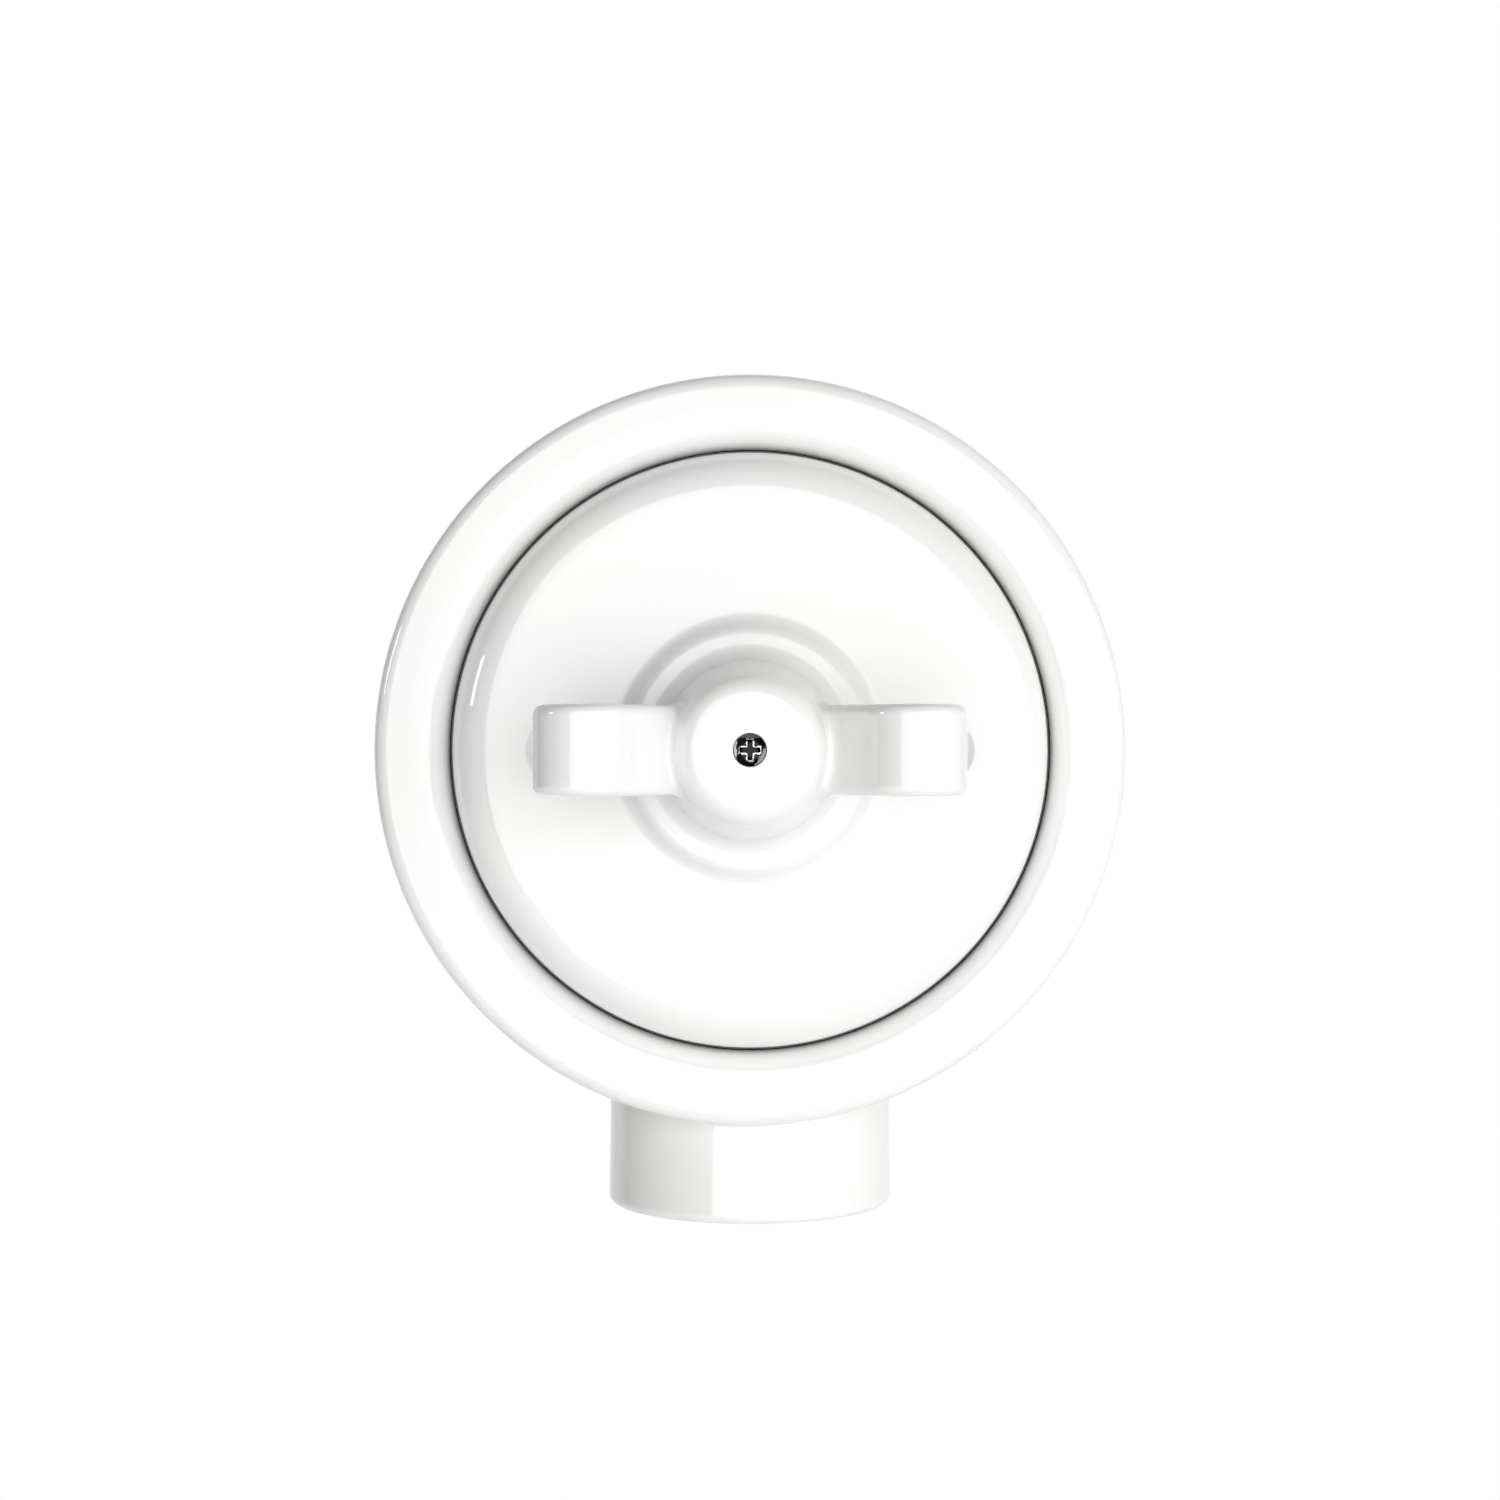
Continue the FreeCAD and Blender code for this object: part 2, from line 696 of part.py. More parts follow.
def draw_ear(sketch):
    """An ear from the side: a round paddle that runs down to a thin root in the hub."""
    radius = s.ear_paddle_radius
    centre_x = knob_base_radius + s.ear_length - radius
    centre_y = knob_base + s.ear_crest - radius
    centre = Vector(centre_x.value, centre_y.value, 0)
    root_top = knob_base + s.ear_root_top
    root_bottom = knob_base + s.ear_root_bottom
    root_radius = knob_base_radius - s.ear_root_inset
    top = Vector(root_radius.value, root_top.value, 0)
    bottom = Vector(root_radius.value, root_bottom.value, 0)
    first = ear_tangent(bottom, centre, radius.value, 1)
    last = ear_tangent(top, centre, radius.value, -1)
    first, last = (first, last) if first < last else (first - 2 * math.pi, last)
    paddle = Part.ArcOfCircle(Part.Circle(centre, Vector(0, 0, 1), radius.value), first, last)
    curve = sketch.addGeometry(paddle, False)
    upper = sketch.addGeometry(Part.LineSegment(paddle.EndPoint, top), False)
    root = sketch.addGeometry(Part.LineSegment(top, bottom), False)
    lower = sketch.addGeometry(Part.LineSegment(bottom, paddle.StartPoint), False)
    sketch.addConstraint(Sketcher.Constraint("Tangent", curve, 2, upper, 1))
    sketch.addConstraint(Sketcher.Constraint("Coincident", upper, 2, root, 1))
    sketch.addConstraint(Sketcher.Constraint("Coincident", root, 2, lower, 1))
    sketch.addConstraint(Sketcher.Constraint("Tangent", lower, 2, curve, 1))
    tie(sketch, "Radius", radius, curve)
    place_point(sketch, curve, 3, centre_x, centre_y)
    place_point(sketch, root, 1, root_radius, root_top)
    place_point(sketch, root, 2, root_radius, root_bottom)


def make_knob():
    """The knob: a round-shouldered hub and two ears in one piece, with a square socket."""
    body = new_piece("knob")
    spigot_radius = nut_recess_radius - s.spigot_gap
    hub = new_sketch(body, "hub", "XZ_Plane")
    draw_outline(
        hub,
        (0, knob_spigot_back),
        (spigot_radius, knob_spigot_back),
        (spigot_radius, knob_base),
        (knob_base_radius, knob_base, s.knob_edge_rounding),
        (knob_base_radius - s.knob_taper, knob_top, s.knob_shoulder_rounding),
        (0, knob_top),
    )
    turned_solid(body, "hub_form", hub)

    ear = new_sketch(body, "ear", "XZ_Plane")
    draw_ear(ear)
    ear_pad = pad(body, "ear_form", ear, s.ear_width, centred=True)
    mirrored(body, "ear_pair", [ear_pad], "YZ_Plane")
    half_width = s.ear_width / 2

    def on_ear_side(edge):
        points = along(edge)
        beyond_hub = abs(points[len(points) // 2].x) > knob_base_radius.value
        return beyond_hub and all(near(abs(point.y), half_width) for point in points)

    def on_ear_root(edge):
        points = along(edge)
        level = all(point.z > knob_base.value + s.knob_edge_rounding.value for point in points)
        close = all(abs(point.x) < knob_base_radius.value for point in points)
        seam = edge.Length > 1 and all(abs(point.y) < half_width.value + 0.01 for point in points)
        on_axis_plane = all(abs(point.y) < 0.01 for point in points)
        return level and close and seam and not on_axis_plane

    rounded(body, "ear_edges", s.ear_edge_rounding, on_ear_side)
    rounded(body, "ear_roots", s.ear_root_rounding, on_ear_root)

    socket = new_sketch(body, "socket", "XY_Plane", knob_spigot_back)
    draw_box(socket, square_hole_half, square_hole_half)
    pocket(body, "socket_cut", socket, s.socket_depth, backward=True)
    head = new_sketch(body, "screw_head", "XY_Plane", knob_top)
    draw_circle(head, knob_screw_head_radius + s.knob_screw_fit)
    pocket(body, "screw_head_cut", head, knob_top - knob_screw_seat)
    shank = new_sketch(body, "screw_hole", "XY_Plane", knob_screw_seat)
    draw_circle(shank, s.knob_screw_radius + s.hole_clearance)
    pocket(body, "screw_hole_cut", shank, knob_screw_seat - socket_top)


def make_knob_screw():
    """The small screw in the middle of the knob, with a cross recess."""
    body = new_piece("knob_screw")
    section = new_sketch(body, "section", "XZ_Plane")
    draw_outline(
        section,
        (0, knob_screw_end),
        (s.knob_screw_radius, knob_screw_end),
        (s.knob_screw_radius, knob_screw_head_back),
        (knob_screw_head_radius, knob_screw_head_back),
        (knob_screw_head_radius, knob_screw_head_top, s.machine_head_rounding),
        (0, knob_screw_head_top),
    )
    turned_solid(body, "form", section)
    cross = new_sketch(body, "cross", "XY_Plane", knob_screw_head_top)
    reach = knob_screw_head_radius - s.cross_slot_margin
    half = s.cross_slot_width / 2
    draw_outline(
        cross,
        (half, half), (half, reach), (-half, reach), (-half, half),
        (-reach, half), (-reach, -half), (-half, -half), (-half, -reach),
        (half, -reach), (half, -half), (reach, -half), (reach, half),
    )
    pocket(body, "recess", cross, s.cross_slot_depth)


# Bridge, bush and the nuts on it

def draw_slot(sketch, half_width, travel, x):
    """A slot with round ends that runs up and down at x."""
    top = Vector(x.value, travel.value, 0)
    bottom = Vector(x.value, -travel.value, 0)
    side = Vector(half_width.value, 0, 0)
    upper_arc = Part.ArcOfCircle(Part.Circle(top, Vector(0, 0, 1), half_width.value), 0, math.pi)
    lower_arc = Part.ArcOfCircle(
        Part.Circle(bottom, Vector(0, 0, 1), half_width.value), math.pi, 2 * math.pi)
    upper = sketch.addGeometry(upper_arc, False)
    left = sketch.addGeometry(Part.LineSegment(top - side, bottom - side), False)
    lower = sketch.addGeometry(lower_arc, False)
    right = sketch.addGeometry(Part.LineSegment(bottom + side, top + side), False)
    sketch.addConstraint(Sketcher.Constraint("Tangent", upper, 2, left, 1))
    sketch.addConstraint(Sketcher.Constraint("Tangent", left, 2, lower, 1))
    sketch.addConstraint(Sketcher.Constraint("Tangent", lower, 2, right, 1))
    sketch.addConstraint(Sketcher.Constraint("Tangent", right, 2, upper, 1))
    tie(sketch, "Radius", half_width, upper)
    place_point(sketch, upper, 3, x, travel)
    place_point(sketch, lower, 3, x, -travel)


def make_bridge():
    """The steel bridge across the bosses, with a slot at each end and tapped holes for the block."""
    body = new_piece("mounting_bridge")
    half_length = bridge_half_length
    half_width = s.bridge_half_width
    plate = new_sketch(body, "plate", "XY_Plane", bridge_seat)
    draw_outline(
        plate,
        (half_length, half_width, s.bridge_corner),
        (-half_length, half_width, s.bridge_corner),
        (-half_length, -half_width, s.bridge_corner),
        (half_length, -half_width, s.bridge_corner),
    )
    pad(body, "form", plate, s.bridge_thickness)
    middle = new_sketch(body, "middle", "XY_Plane", bridge_front)
    draw_circle(middle, bush_thread_radius)
    pocket(body, "middle_cut", middle, s.bridge_thickness)
    slot = new_sketch(body, "slot", "XY_Plane", bridge_front)
    draw_slot(slot, machine_hole_radius, s.bridge_slot_travel, boss_place)
    slot_cut = pocket(body, "slot_cut", slot, s.bridge_thickness)
    tapped = new_sketch(body, "tapped", "XY_Plane", bridge_front)
    draw_circle(tapped, machine_thread_radius, block_screw_place, 0)
    tapped_cut = pocket(body, "tapped_cut", tapped, s.bridge_thickness)
    mirrored(body, "ends", [slot_cut, tapped_cut], "YZ_Plane")


def machine_screw(body, name, place, head_back, length, head_up):
    """A slotted cheese-head screw that stands along the switch's axis at x = place."""
    way = 1 if head_up else -1
    head = new_sketch(body, f"{name}_head", "XY_Plane", head_back)
    draw_circle(head, machine_head_radius, place, 0)
    head_pad = pad(body, f"{name}_head_form", head, s.machine_head_height, backward=not head_up)
    shank = new_sketch(body, f"{name}_shank", "XY_Plane", head_back)
    draw_circle(shank, s.machine_screw_radius, place, 0)
    shank_pad = pad(body, f"{name}_shank_form", shank, length, backward=head_up)
    head_face = head_back + s.machine_head_height * way
    slot = new_sketch(body, f"{name}_slot", "XY_Plane", head_face)
    reach = machine_head_radius + s.hole_clearance
    draw_box(slot, s.driver_slot_width / 2, reach, place, 0)
    slot_cut = pocket(body, f"{name}_slot_cut", slot, s.driver_slot_depth, backward=not head_up)
    return [head_pad, shank_pad, slot_cut]


def make_bridge_screws():
    """Two screws that hold the bridge to the inserts."""
    body = new_piece("bridge_screws", several=True)
    length = s.bridge_thickness + s.insert_length - s.machine_screw_end_gap
    screw = machine_screw(body, "screw", boss_place, bridge_front, length, True)
    mirrored(body, "pair", screw, "YZ_Plane")


def make_block_screws():
    """Two long screws that hold the switch block up against the bridge."""
    body = new_piece("block_screws", several=True)
    head_back = block_back + s.block_screw_recess
    length = bridge_front - head_back
    screw = machine_screw(body, "screw", block_screw_place, head_back, length, False)
    mirrored(body, "pair", screw, "YZ_Plane")


def make_bush():
    """The threaded brass bush: its flange sits behind the bridge, and the spindle runs in it."""
    body = new_piece("threaded_bush")
    flange_radius = bush_radius + s.bush_flange_width
    section = new_sketch(body, "section", "XZ_Plane")
    draw_outline(
        section,
        (bush_bore, bush_flange_back),
        (flange_radius, bush_flange_back),
        (flange_radius, bridge_seat),
        (bush_radius, bridge_seat),
        (bush_radius, bush_front),
        (bush_bore, bush_front),
    )
    turned_solid(body, "form", section)


def make_bush_nut():
    """The hexagon nut that clamps the bush to the bridge."""
    body = new_piece("bush_nut")
    half_flats = bush_radius + s.bush_nut_wall
    half_side = half_flats * math.tan(math.radians(30))
    corner_radius = half_side * 2
    hexagon = new_sketch(body, "hexagon", "XY_Plane", bridge_front + s.lock_washer_thickness)
    draw_outline(
        hexagon,
        (corner_radius, 0), (half_side, half_flats), (-half_side, half_flats),
        (-corner_radius, 0), (-half_side, -half_flats), (half_side, -half_flats),
    )
    draw_circle(hexagon, bush_thread_radius)
    pad(body, "form", hexagon, s.bush_nut_thickness)


def make_cover_nut():
    """The slotted round nut that holds the cover, hidden in the collar under the knob."""
    body = tube("cover_ring_nut", bush_thread_radius, cover_nut_radius,
                cover_nut_back, s.cover_nut_thickness)
    slot = new_sketch(body, "slot", "XY_Plane", bush_front)
    draw_box(slot, cover_nut_radius, s.cover_nut_slot_width / 2)
    pocket(body, "slot_cut", slot, s.cover_nut_slot_depth)


# Switch block

def make_block():
    """The ceramic block: a cup for the rotor, with notches for three terminals."""
    body = new_piece("switch_body")
    outer = new_sketch(body, "outer", "XY_Plane", block_back)
    draw_circle(outer, block_radius)
    pad(body, "form", outer, s.block_height)
    cavity = new_sketch(body, "cavity", "XY_Plane", bridge_seat)
    draw_circle(cavity, s.block_cavity_radius)
    pocket(body, "cavity_cut", cavity, bridge_seat - block_floor_face)
    rebate = new_sketch(body, "rebate", "XY_Plane", bridge_seat)
    draw_circle(rebate, lid_radius + s.lid_fit)
    pocket(body, "rebate_cut", rebate, bridge_seat - lid_back)

    # A blind bearing in the floor carries the spindle's pivot.
    bearing = new_sketch(body, "bearing", "XY_Plane", block_floor_face)
    draw_circle(bearing, pivot_radius + s.running_clearance)
    pocket(body, "bearing_cut", bearing, s.pivot_length + s.hole_clearance)

    # Each terminal lies in a notch that is open to the front and to the side.
    notch = new_sketch(body, "notch", "XY_Plane", bridge_seat, FIRST_TERMINAL_ANGLE)
    notch_half_width = s.contact_width / 2 + s.notch_clearance
    notch_inner = s.block_cavity_radius - notch_half_width
    draw_outline(
        notch,
        (notch_inner, -notch_half_width), (block_radius + s.hole_clearance, -notch_half_width),
        (block_radius + s.hole_clearance, notch_half_width), (notch_inner, notch_half_width),
    )
    notch_cut = pocket(body, "notch_cut", notch, bridge_seat - block_floor_face)
    span = TERMINAL_STEP * (TERMINAL_COUNT - 1)
    repeated(body, "notches", [notch_cut], TERMINAL_COUNT, span)

    # The leaf springs drop into thin slots on both sides of the cup.
    slots = new_sketch(body, "spring_slots", "XY_Plane", lid_back)
    slot_half = s.spring_thickness / 2 + s.thread_clearance
    draw_box(slots, spring_half_length + s.thread_clearance, slot_half,
             0, spring_place + s.spring_thickness / 2)
    slots_cut = pocket(body, "spring_slots_cut", slots, lid_back - spring_back)
    mirrored(body, "spring_slots_pair", [slots_cut], "XZ_Plane")

    # The block's own screws pass through the wall from the back.
    hole = new_sketch(body, "screw_hole", "XY_Plane", bridge_seat)
    draw_circle(hole, machine_hole_radius, block_screw_place, 0)
    hole_cut = pocket(body, "screw_hole_cut", hole, s.block_height)
    recess = new_sketch(body, "screw_recess", "XY_Plane", block_back)
    draw_circle(recess, machine_head_radius + s.head_clearance, block_screw_place, 0)
    recess_cut = pocket(body, "screw_recess_cut", recess, s.block_screw_recess, backward=True)
    mirrored(body, "screw_pair", [hole_cut, recess_cut], "YZ_Plane")


def square_hole(body, top, length):
    """A square hole that fits the spindle, cut down from the top."""
    hole = new_sketch(body, "square", "XY_Plane", top)
    draw_box(hole, square_hole_half, square_hole_half)
    return pocket(body, "square_cut", hole, length)


def cross_hole(body, radius):
    """A hole for the cross pin, through the axis."""
    hole = new_sketch(body, "pin_hole", "YZ_Plane")
    draw_circle(hole, radius, 0, pin_depth)
    return pocket(body, "pin_hole_cut", hole, s.pin_length + s.rotor_radius, centred=True)


def make_spindle():
    """The spindle: a pivot, a squared drive end, a round bearing length and a squared top."""
    body = new_piece("spindle")
    section = new_sketch(body, "section", "XZ_Plane")
    draw_outline(
        section,
        (0, spindle_back),
        (pivot_radius, spindle_back),
        (pivot_radius, spindle_pivot_shoulder),
        (s.spindle_radius, spindle_pivot_shoulder),
        (s.spindle_radius, spindle_front),
        (0, spindle_front),
    )
    turned_solid(body, "form", section)
    waste_radius = s.spindle_radius * 2
    for end, face, length in (
        ("drive", thrust_washer_back, thrust_washer_back - spindle_pivot_shoulder),
        ("top", spindle_front, spindle_front - knob_spigot_back),
    ):
        flats = new_sketch(body, f"{end}_flats", "XY_Plane", face)
        draw_circle(flats, waste_radius)
        draw_box(flats, half_square, half_square)
        pocket(body, f"{end}_flats_cut", flats, length)
    groove = new_sketch(body, "clip_groove", "XY_Plane", clip_back + s.clip_thickness)
    draw_circle(groove, waste_radius)
    draw_circle(groove, clip_groove_radius)
    pocket(body, "clip_groove_cut", groove, s.clip_thickness)
    tapped = new_sketch(body, "tapped", "XY_Plane", spindle_front)
    draw_circle(tapped, s.knob_screw_radius + s.thread_clearance)
    pocket(body, "tapped_cut", tapped, spindle_front - knob_screw_end + s.hole_clearance)
    cross_hole(body, s.pin_radius + s.thread_clearance)


def make_clip():
    """The open spring clip that keeps the spindle from dropping back through the bush."""
    body = tube("spindle_clip", clip_groove_radius, clip_radius, clip_back, s.clip_thickness)
    mouth = new_sketch(body, "mouth", "XY_Plane", clip_back + s.clip_thickness)
    draw_box(mouth, s.clip_opening / 2, clip_radius / 2, 0, -clip_radius / 2)
    pocket(body, "mouth_cut", mouth, s.clip_thickness)


def make_rotor():
    """The moulded rotor that carries the wiper and is pinned to the spindle."""
    body = new_piece("rotor")
    disc = new_sketch(body, "disc", "XY_Plane", wiper_front)
    draw_circle(disc, s.rotor_radius)
    height = cam_back - wiper_front
    pad(body, "form", disc, height)
    square_hole(body, cam_back, height)
    cross_hole(body, s.pin_radius + s.thread_clearance)


def make_rotor_pin():
    """The steel cross pin."""
    body = new_piece("rotor_pin")
    pin = new_sketch(body, "pin", "YZ_Plane")
    draw_circle(pin, s.pin_radius, 0, pin_depth)
    pad(body, "form", pin, s.pin_length, centred=True)


def make_cam():
    """The square detent cam with its corners turned round."""
    body = new_piece("detent_cam")
    disc = new_sketch(body, "disc", "XY_Plane", cam_back)
    draw_circle(disc, cam_corner_radius)
    pad(body, "form", disc, s.cam_thickness)
    flats = new_sketch(body, "flats", "XY_Plane", thrust_washer_back)
    draw_circle(flats, cam_corner_radius * 2)
    draw_box(flats, s.cam_flats / 2, s.cam_flats / 2)
    pocket(body, "flats_cut", flats, s.cam_thickness)
    square_hole(body, thrust_washer_back, s.cam_thickness)


def make_springs():
    """Two leaf springs, one on each side of the cam."""
    body = new_piece("detent_springs", several=True)
    strip = new_sketch(body, "strip", "XY_Plane", spring_back)
    draw_box(strip, spring_half_length, s.spring_thickness / 2,
             0, spring_place + s.spring_thickness / 2)
    form = pad(body, "form", strip, s.spring_width)
    mirrored(body, "pair", [form], "XZ_Plane")


def make_wiper():
    """The brass wiper: two arms at a right angle that bridge neighbouring contacts."""
    body = new_piece("wiper", FIRST_TERMINAL_ANGLE)
    hub = new_sketch(body, "hub", "XY_Plane", wiper_back)
    draw_circle(hub, s.wiper_hub_radius)
    pad(body, "hub_form", hub, s.contact_thickness)
    arm = new_sketch(body, "arm", "XY_Plane", wiper_back)
    draw_box(arm, wiper_arm_reach / 2, s.wiper_arm_width / 2, wiper_arm_reach / 2, 0)
    arm_pad = pad(body, "arm_form", arm, s.contact_thickness)
    repeated(body, "arms", [arm_pad], 2, TERMINAL_STEP)
    hole = new_sketch(body, "square", "XY_Plane", wiper_front, -FIRST_TERMINAL_ANGLE)
    draw_box(hole, square_hole_half, square_hole_half)
    pocket(body, "square_cut", hole, s.contact_thickness)


def make_contact(name, angle):
    """A fixed contact: a strip on the block's floor with a silvered pad and an upturned leg."""
    body = new_piece(name, angle)
    half_width = s.contact_width / 2
    side = new_sketch(body, "side", "XZ_Plane")
    leg_inner = contact_outer - s.contact_thickness
    leg_top = block_floor_face + s.contact_leg_height
    draw_outline(
        side,
        (contact_inner, block_floor_face),
        (contact_outer, block_floor_face, s.contact_thickness),
        (contact_outer, leg_top),
        (leg_inner, leg_top),
        (leg_inner, contact_face),
        (contact_inner, contact_face),
    )
    pad(body, "form", side, half_width * 2, centred=True)
    button = new_sketch(body, "button", "XY_Plane", contact_face)
    draw_circle(button, s.contact_pad_radius, contact_pad_place, 0)
    pad(body, "button_form", button, s.contact_pad_height)
    tapped = new_sketch(body, "tapped", "YZ_Plane", contact_outer)
    draw_circle(tapped, machine_thread_radius, 0, terminal_depth)
    pocket(body, "tapped_cut", tapped, s.contact_thickness)


def make_clamps():
    """A square clamp plate on each terminal."""
    body = new_piece("terminal_clamps", FIRST_TERMINAL_ANGLE, several=True)
    plate = new_sketch(body, "plate", "YZ_Plane", terminal_clamp_back)
    draw_box(plate, s.clamp_size / 2, s.clamp_size / 2, 0, terminal_depth)
    draw_circle(plate, machine_hole_radius, 0, terminal_depth)
    form = pad(body, "form", plate, s.clamp_thickness)
    repeated(body, "all", [form], TERMINAL_COUNT, TERMINAL_STEP * (TERMINAL_COUNT - 1))


def make_terminal_screws():
    """A slotted screw in each terminal, pointing at the spindle."""
    body = new_piece("terminal_screws", FIRST_TERMINAL_ANGLE, several=True)
    head_back = terminal_clamp_back + s.clamp_thickness
    head_face = head_back + s.machine_head_height
    head = new_sketch(body, "head", "YZ_Plane", head_back)
    draw_circle(head, machine_head_radius, 0, terminal_depth)
    head_pad = pad(body, "head_form", head, s.machine_head_height)
    shank = new_sketch(body, "shank", "YZ_Plane", head_back)
    draw_circle(shank, s.machine_screw_radius, 0, terminal_depth)
    length = head_back - contact_outer + s.contact_thickness + s.terminal_screw_tail
    shank_pad = pad(body, "shank_form", shank, length, backward=True)
    slot = new_sketch(body, "slot", "YZ_Plane", head_face)
    draw_box(slot, machine_head_radius, s.driver_slot_width / 2, 0, terminal_depth)
    slot_cut = pocket(body, "slot_cut", slot, s.driver_slot_depth)
    span = TERMINAL_STEP * (TERMINAL_COUNT - 1)
    repeated(body, "all", [head_pad, shank_pad, slot_cut], TERMINAL_COUNT, span)


make_box()
make_inserts()
make_cover()
make_knob()
make_knob_screw()
tube("knob_washer", s.knob_screw_radius + s.hole_clearance, knob_screw_head_radius,
     knob_screw_seat, s.knob_washer_thickness)
make_bridge()
make_bridge_screws()
make_bush()
tube("bush_lock_washer", bush_hole, bush_radius + s.lock_washer_width,
     bridge_front, s.lock_washer_thickness)
make_bush_nut()
tube("cover_washer", bush_hole, bush_radius + s.cover_washer_width,
     nut_recess_floor, s.cover_washer_thickness)
make_cover_nut()
make_block()
make_block_screws()
tube("mechanism_lid", s.spindle_radius + s.lid_running_gap, lid_radius, lid_back, s.lid_thickness)
make_spindle()
make_clip()
tube("thrust_washer", s.spindle_radius + s.lid_fit, thrust_washer_radius,
     thrust_washer_back, s.thrust_washer_thickness)
make_rotor()
make_rotor_pin()
make_cam()
make_springs()
make_wiper()
for order, contact in enumerate(("contact_one", "contact_common", "contact_two")):
    make_contact(contact, FIRST_TERMINAL_ANGLE + TERMINAL_STEP * order)
make_clamps()
make_terminal_screws()


# Every object is checked before any piece is written.

doc.recompute()
for item in doc.Objects:
    if "Invalid" in item.State or "Error" in item.State:
        raise ValueError(f"{item.Label} failed")
for piece in pieces:
    if piece.Shape.isNull() or not piece.Shape.isValid():
        raise ValueError(f"{piece.Label} has no valid shape")
for piece in pieces:
    piece.Shape.exportStep(f"parts/{piece.Label}.step")
    print(piece.Label, len(piece.Shape.Solids), "solids", round(piece.Shape.Volume, 1), "mm3")
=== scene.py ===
# %% [markdown]
# # Porcelain rotary switch
#
# A round box of glazed porcelain stands on the wall, with a spout below for the conduit. A porcelain
# cover with a moulded collar closes it, and a butterfly knob in the middle turns the switch. The
# box, the cover, the knob and its screw are modelled here with the soft edges that thick glaze
# gives. The mechanism behind the cover comes from the construction model, at its exact place, and
# gets its materials here.

# %% Start
import json
import math
from contextlib import contextmanager
from types import SimpleNamespace

import bmesh
import bpy
import numpy as np
from mathutils import Matrix, Vector


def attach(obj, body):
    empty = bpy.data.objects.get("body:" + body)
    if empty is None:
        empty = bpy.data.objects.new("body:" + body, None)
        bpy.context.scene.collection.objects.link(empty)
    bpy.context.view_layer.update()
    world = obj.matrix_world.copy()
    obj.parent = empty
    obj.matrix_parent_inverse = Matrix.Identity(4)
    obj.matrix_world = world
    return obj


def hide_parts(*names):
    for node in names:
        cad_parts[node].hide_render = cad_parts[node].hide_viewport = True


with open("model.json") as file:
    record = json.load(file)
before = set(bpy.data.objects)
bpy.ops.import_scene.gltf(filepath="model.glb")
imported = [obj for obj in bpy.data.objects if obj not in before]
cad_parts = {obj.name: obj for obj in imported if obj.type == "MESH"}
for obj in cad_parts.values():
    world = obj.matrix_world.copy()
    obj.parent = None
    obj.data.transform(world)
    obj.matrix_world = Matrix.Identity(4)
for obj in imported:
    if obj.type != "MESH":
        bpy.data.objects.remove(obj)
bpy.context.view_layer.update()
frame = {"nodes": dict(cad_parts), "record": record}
scene = bpy.context.scene
MM = 0.001
print(len(frame["nodes"]), "pieces come from the construction model")


# %% [markdown]
# ## Sizes
#
# All sizes are in millimetres and agree with the construction model. Depth counts from the wall
# towards the person at the switch. The back lies on the wall at depth 0.

# %% Sizes
S = SimpleNamespace(
    box=50.0, opening=40.0, cavity=42.5, ledge=36.5, floor=5.0, seat=37.5, front=45.0,
    back_round=1.2, ring_fall=0.6, ring_edge=2.3, crest=45.0, crest_round=10.0, opening_fall=0.3,
    opening_round=3.8, ledge_thick=3.5, ledge_slope=3.0, floor_round=3.0,
    spout=19.9, spout_depth=20.5, spout_reach=63.7, spout_lip=1.2, spout_root=0.8,
    conduit=12.7, conduit_length=18.0, cable=10.0, cable_end=30.0,
    boss=4.2, boss_place=30.0, bridge_seat=27.0, insert=2.9, insert_length=10.2,
    wall_hole=2.25, wall_head=4.5, wall_head_depth=2.0, wall_place=30.0,
    cover=39.5, cover_front=49.5, cover_round=6.2, skirt=4.0, skirt_round=2.5, cover_inside=45.0,
    collar_root=17.2, collar_root_round=2.2,
    collar_step=15.6, collar_step_depth=51.75, collar_step_round=1.6,
    collar_foot=12.1, collar_foot_depth=52.2, collar_foot_round=2.6,
    collar=11.5, collar_top=55.0, collar_round=0.3, recess=9.4, recess_floor=49.0, cover_hole=6.2,
    hub_foot=55.3, hub_foot_round=0.4, hub=11.6, hub_taper=2.6, hub_round=3.3, knob_top=66.8,
    spigot=8.9, spigot_back=53.6,
    socket_top=60.6, socket=2.35, ear_half_width=5.65, ear_tip=26.95, paddle=6.6, paddle_depth=65.4,
    ear_root=5.0, ear_root_top=57.4, ear_root_bottom=56.0, ear_edge=1.3, ear_valley=1.2,
    well=4.3, well_floor=3.45, well_place=25.0, well_depth=0.55, well_edge=0.8,
    screw_hole=2.13, shank_hole=1.45, screw_seat=64.1,
    screw=2.05, shank=1.25, screw_end=54.0, shank_bevel=0.3, shank_bevel_length=0.4,
    head_back=64.5, head_back_round=0.1, head_side=0.75, head_side_round=0.4,
    dome=1.35, dome_fall=0.12, dome_round=1.2, head_top=66.4,
    cross_half=0.35, cross_reach=1.3, cross_depth=1.0,
)
print("the box is", 2 * S.box, "mm wide")


# %% [markdown]
# ## Profiles and turned shapes
#
# Nearly everything here is turned on a wheel or pressed in a round mould, so one profile line spun
# about an axis gives each form. A profile is a row of corners, the radius first and then the depth,
# and a corner may name its rounding. Each rounding is a real arc, because a reflection shows at
# once where a curve only pretends to be round. A guard point beside each end of an arc holds the
# straight run straight, so that the shading doesn't run out over the flats. Cutters go a little past
# the skin that they cut.

# %% Profiles
GUARD = 0.15  # how far a guard point is from its arc
PAST = 1  # how far a cutter goes past a skin
IN_FRONT = 80  # a depth in front of the whole switch
AXIS = (0, 1, 0)
ORIGIN = (0, 0, 0)
OUT = (0, -1, 0)
DOWN = (0, 0, -1)


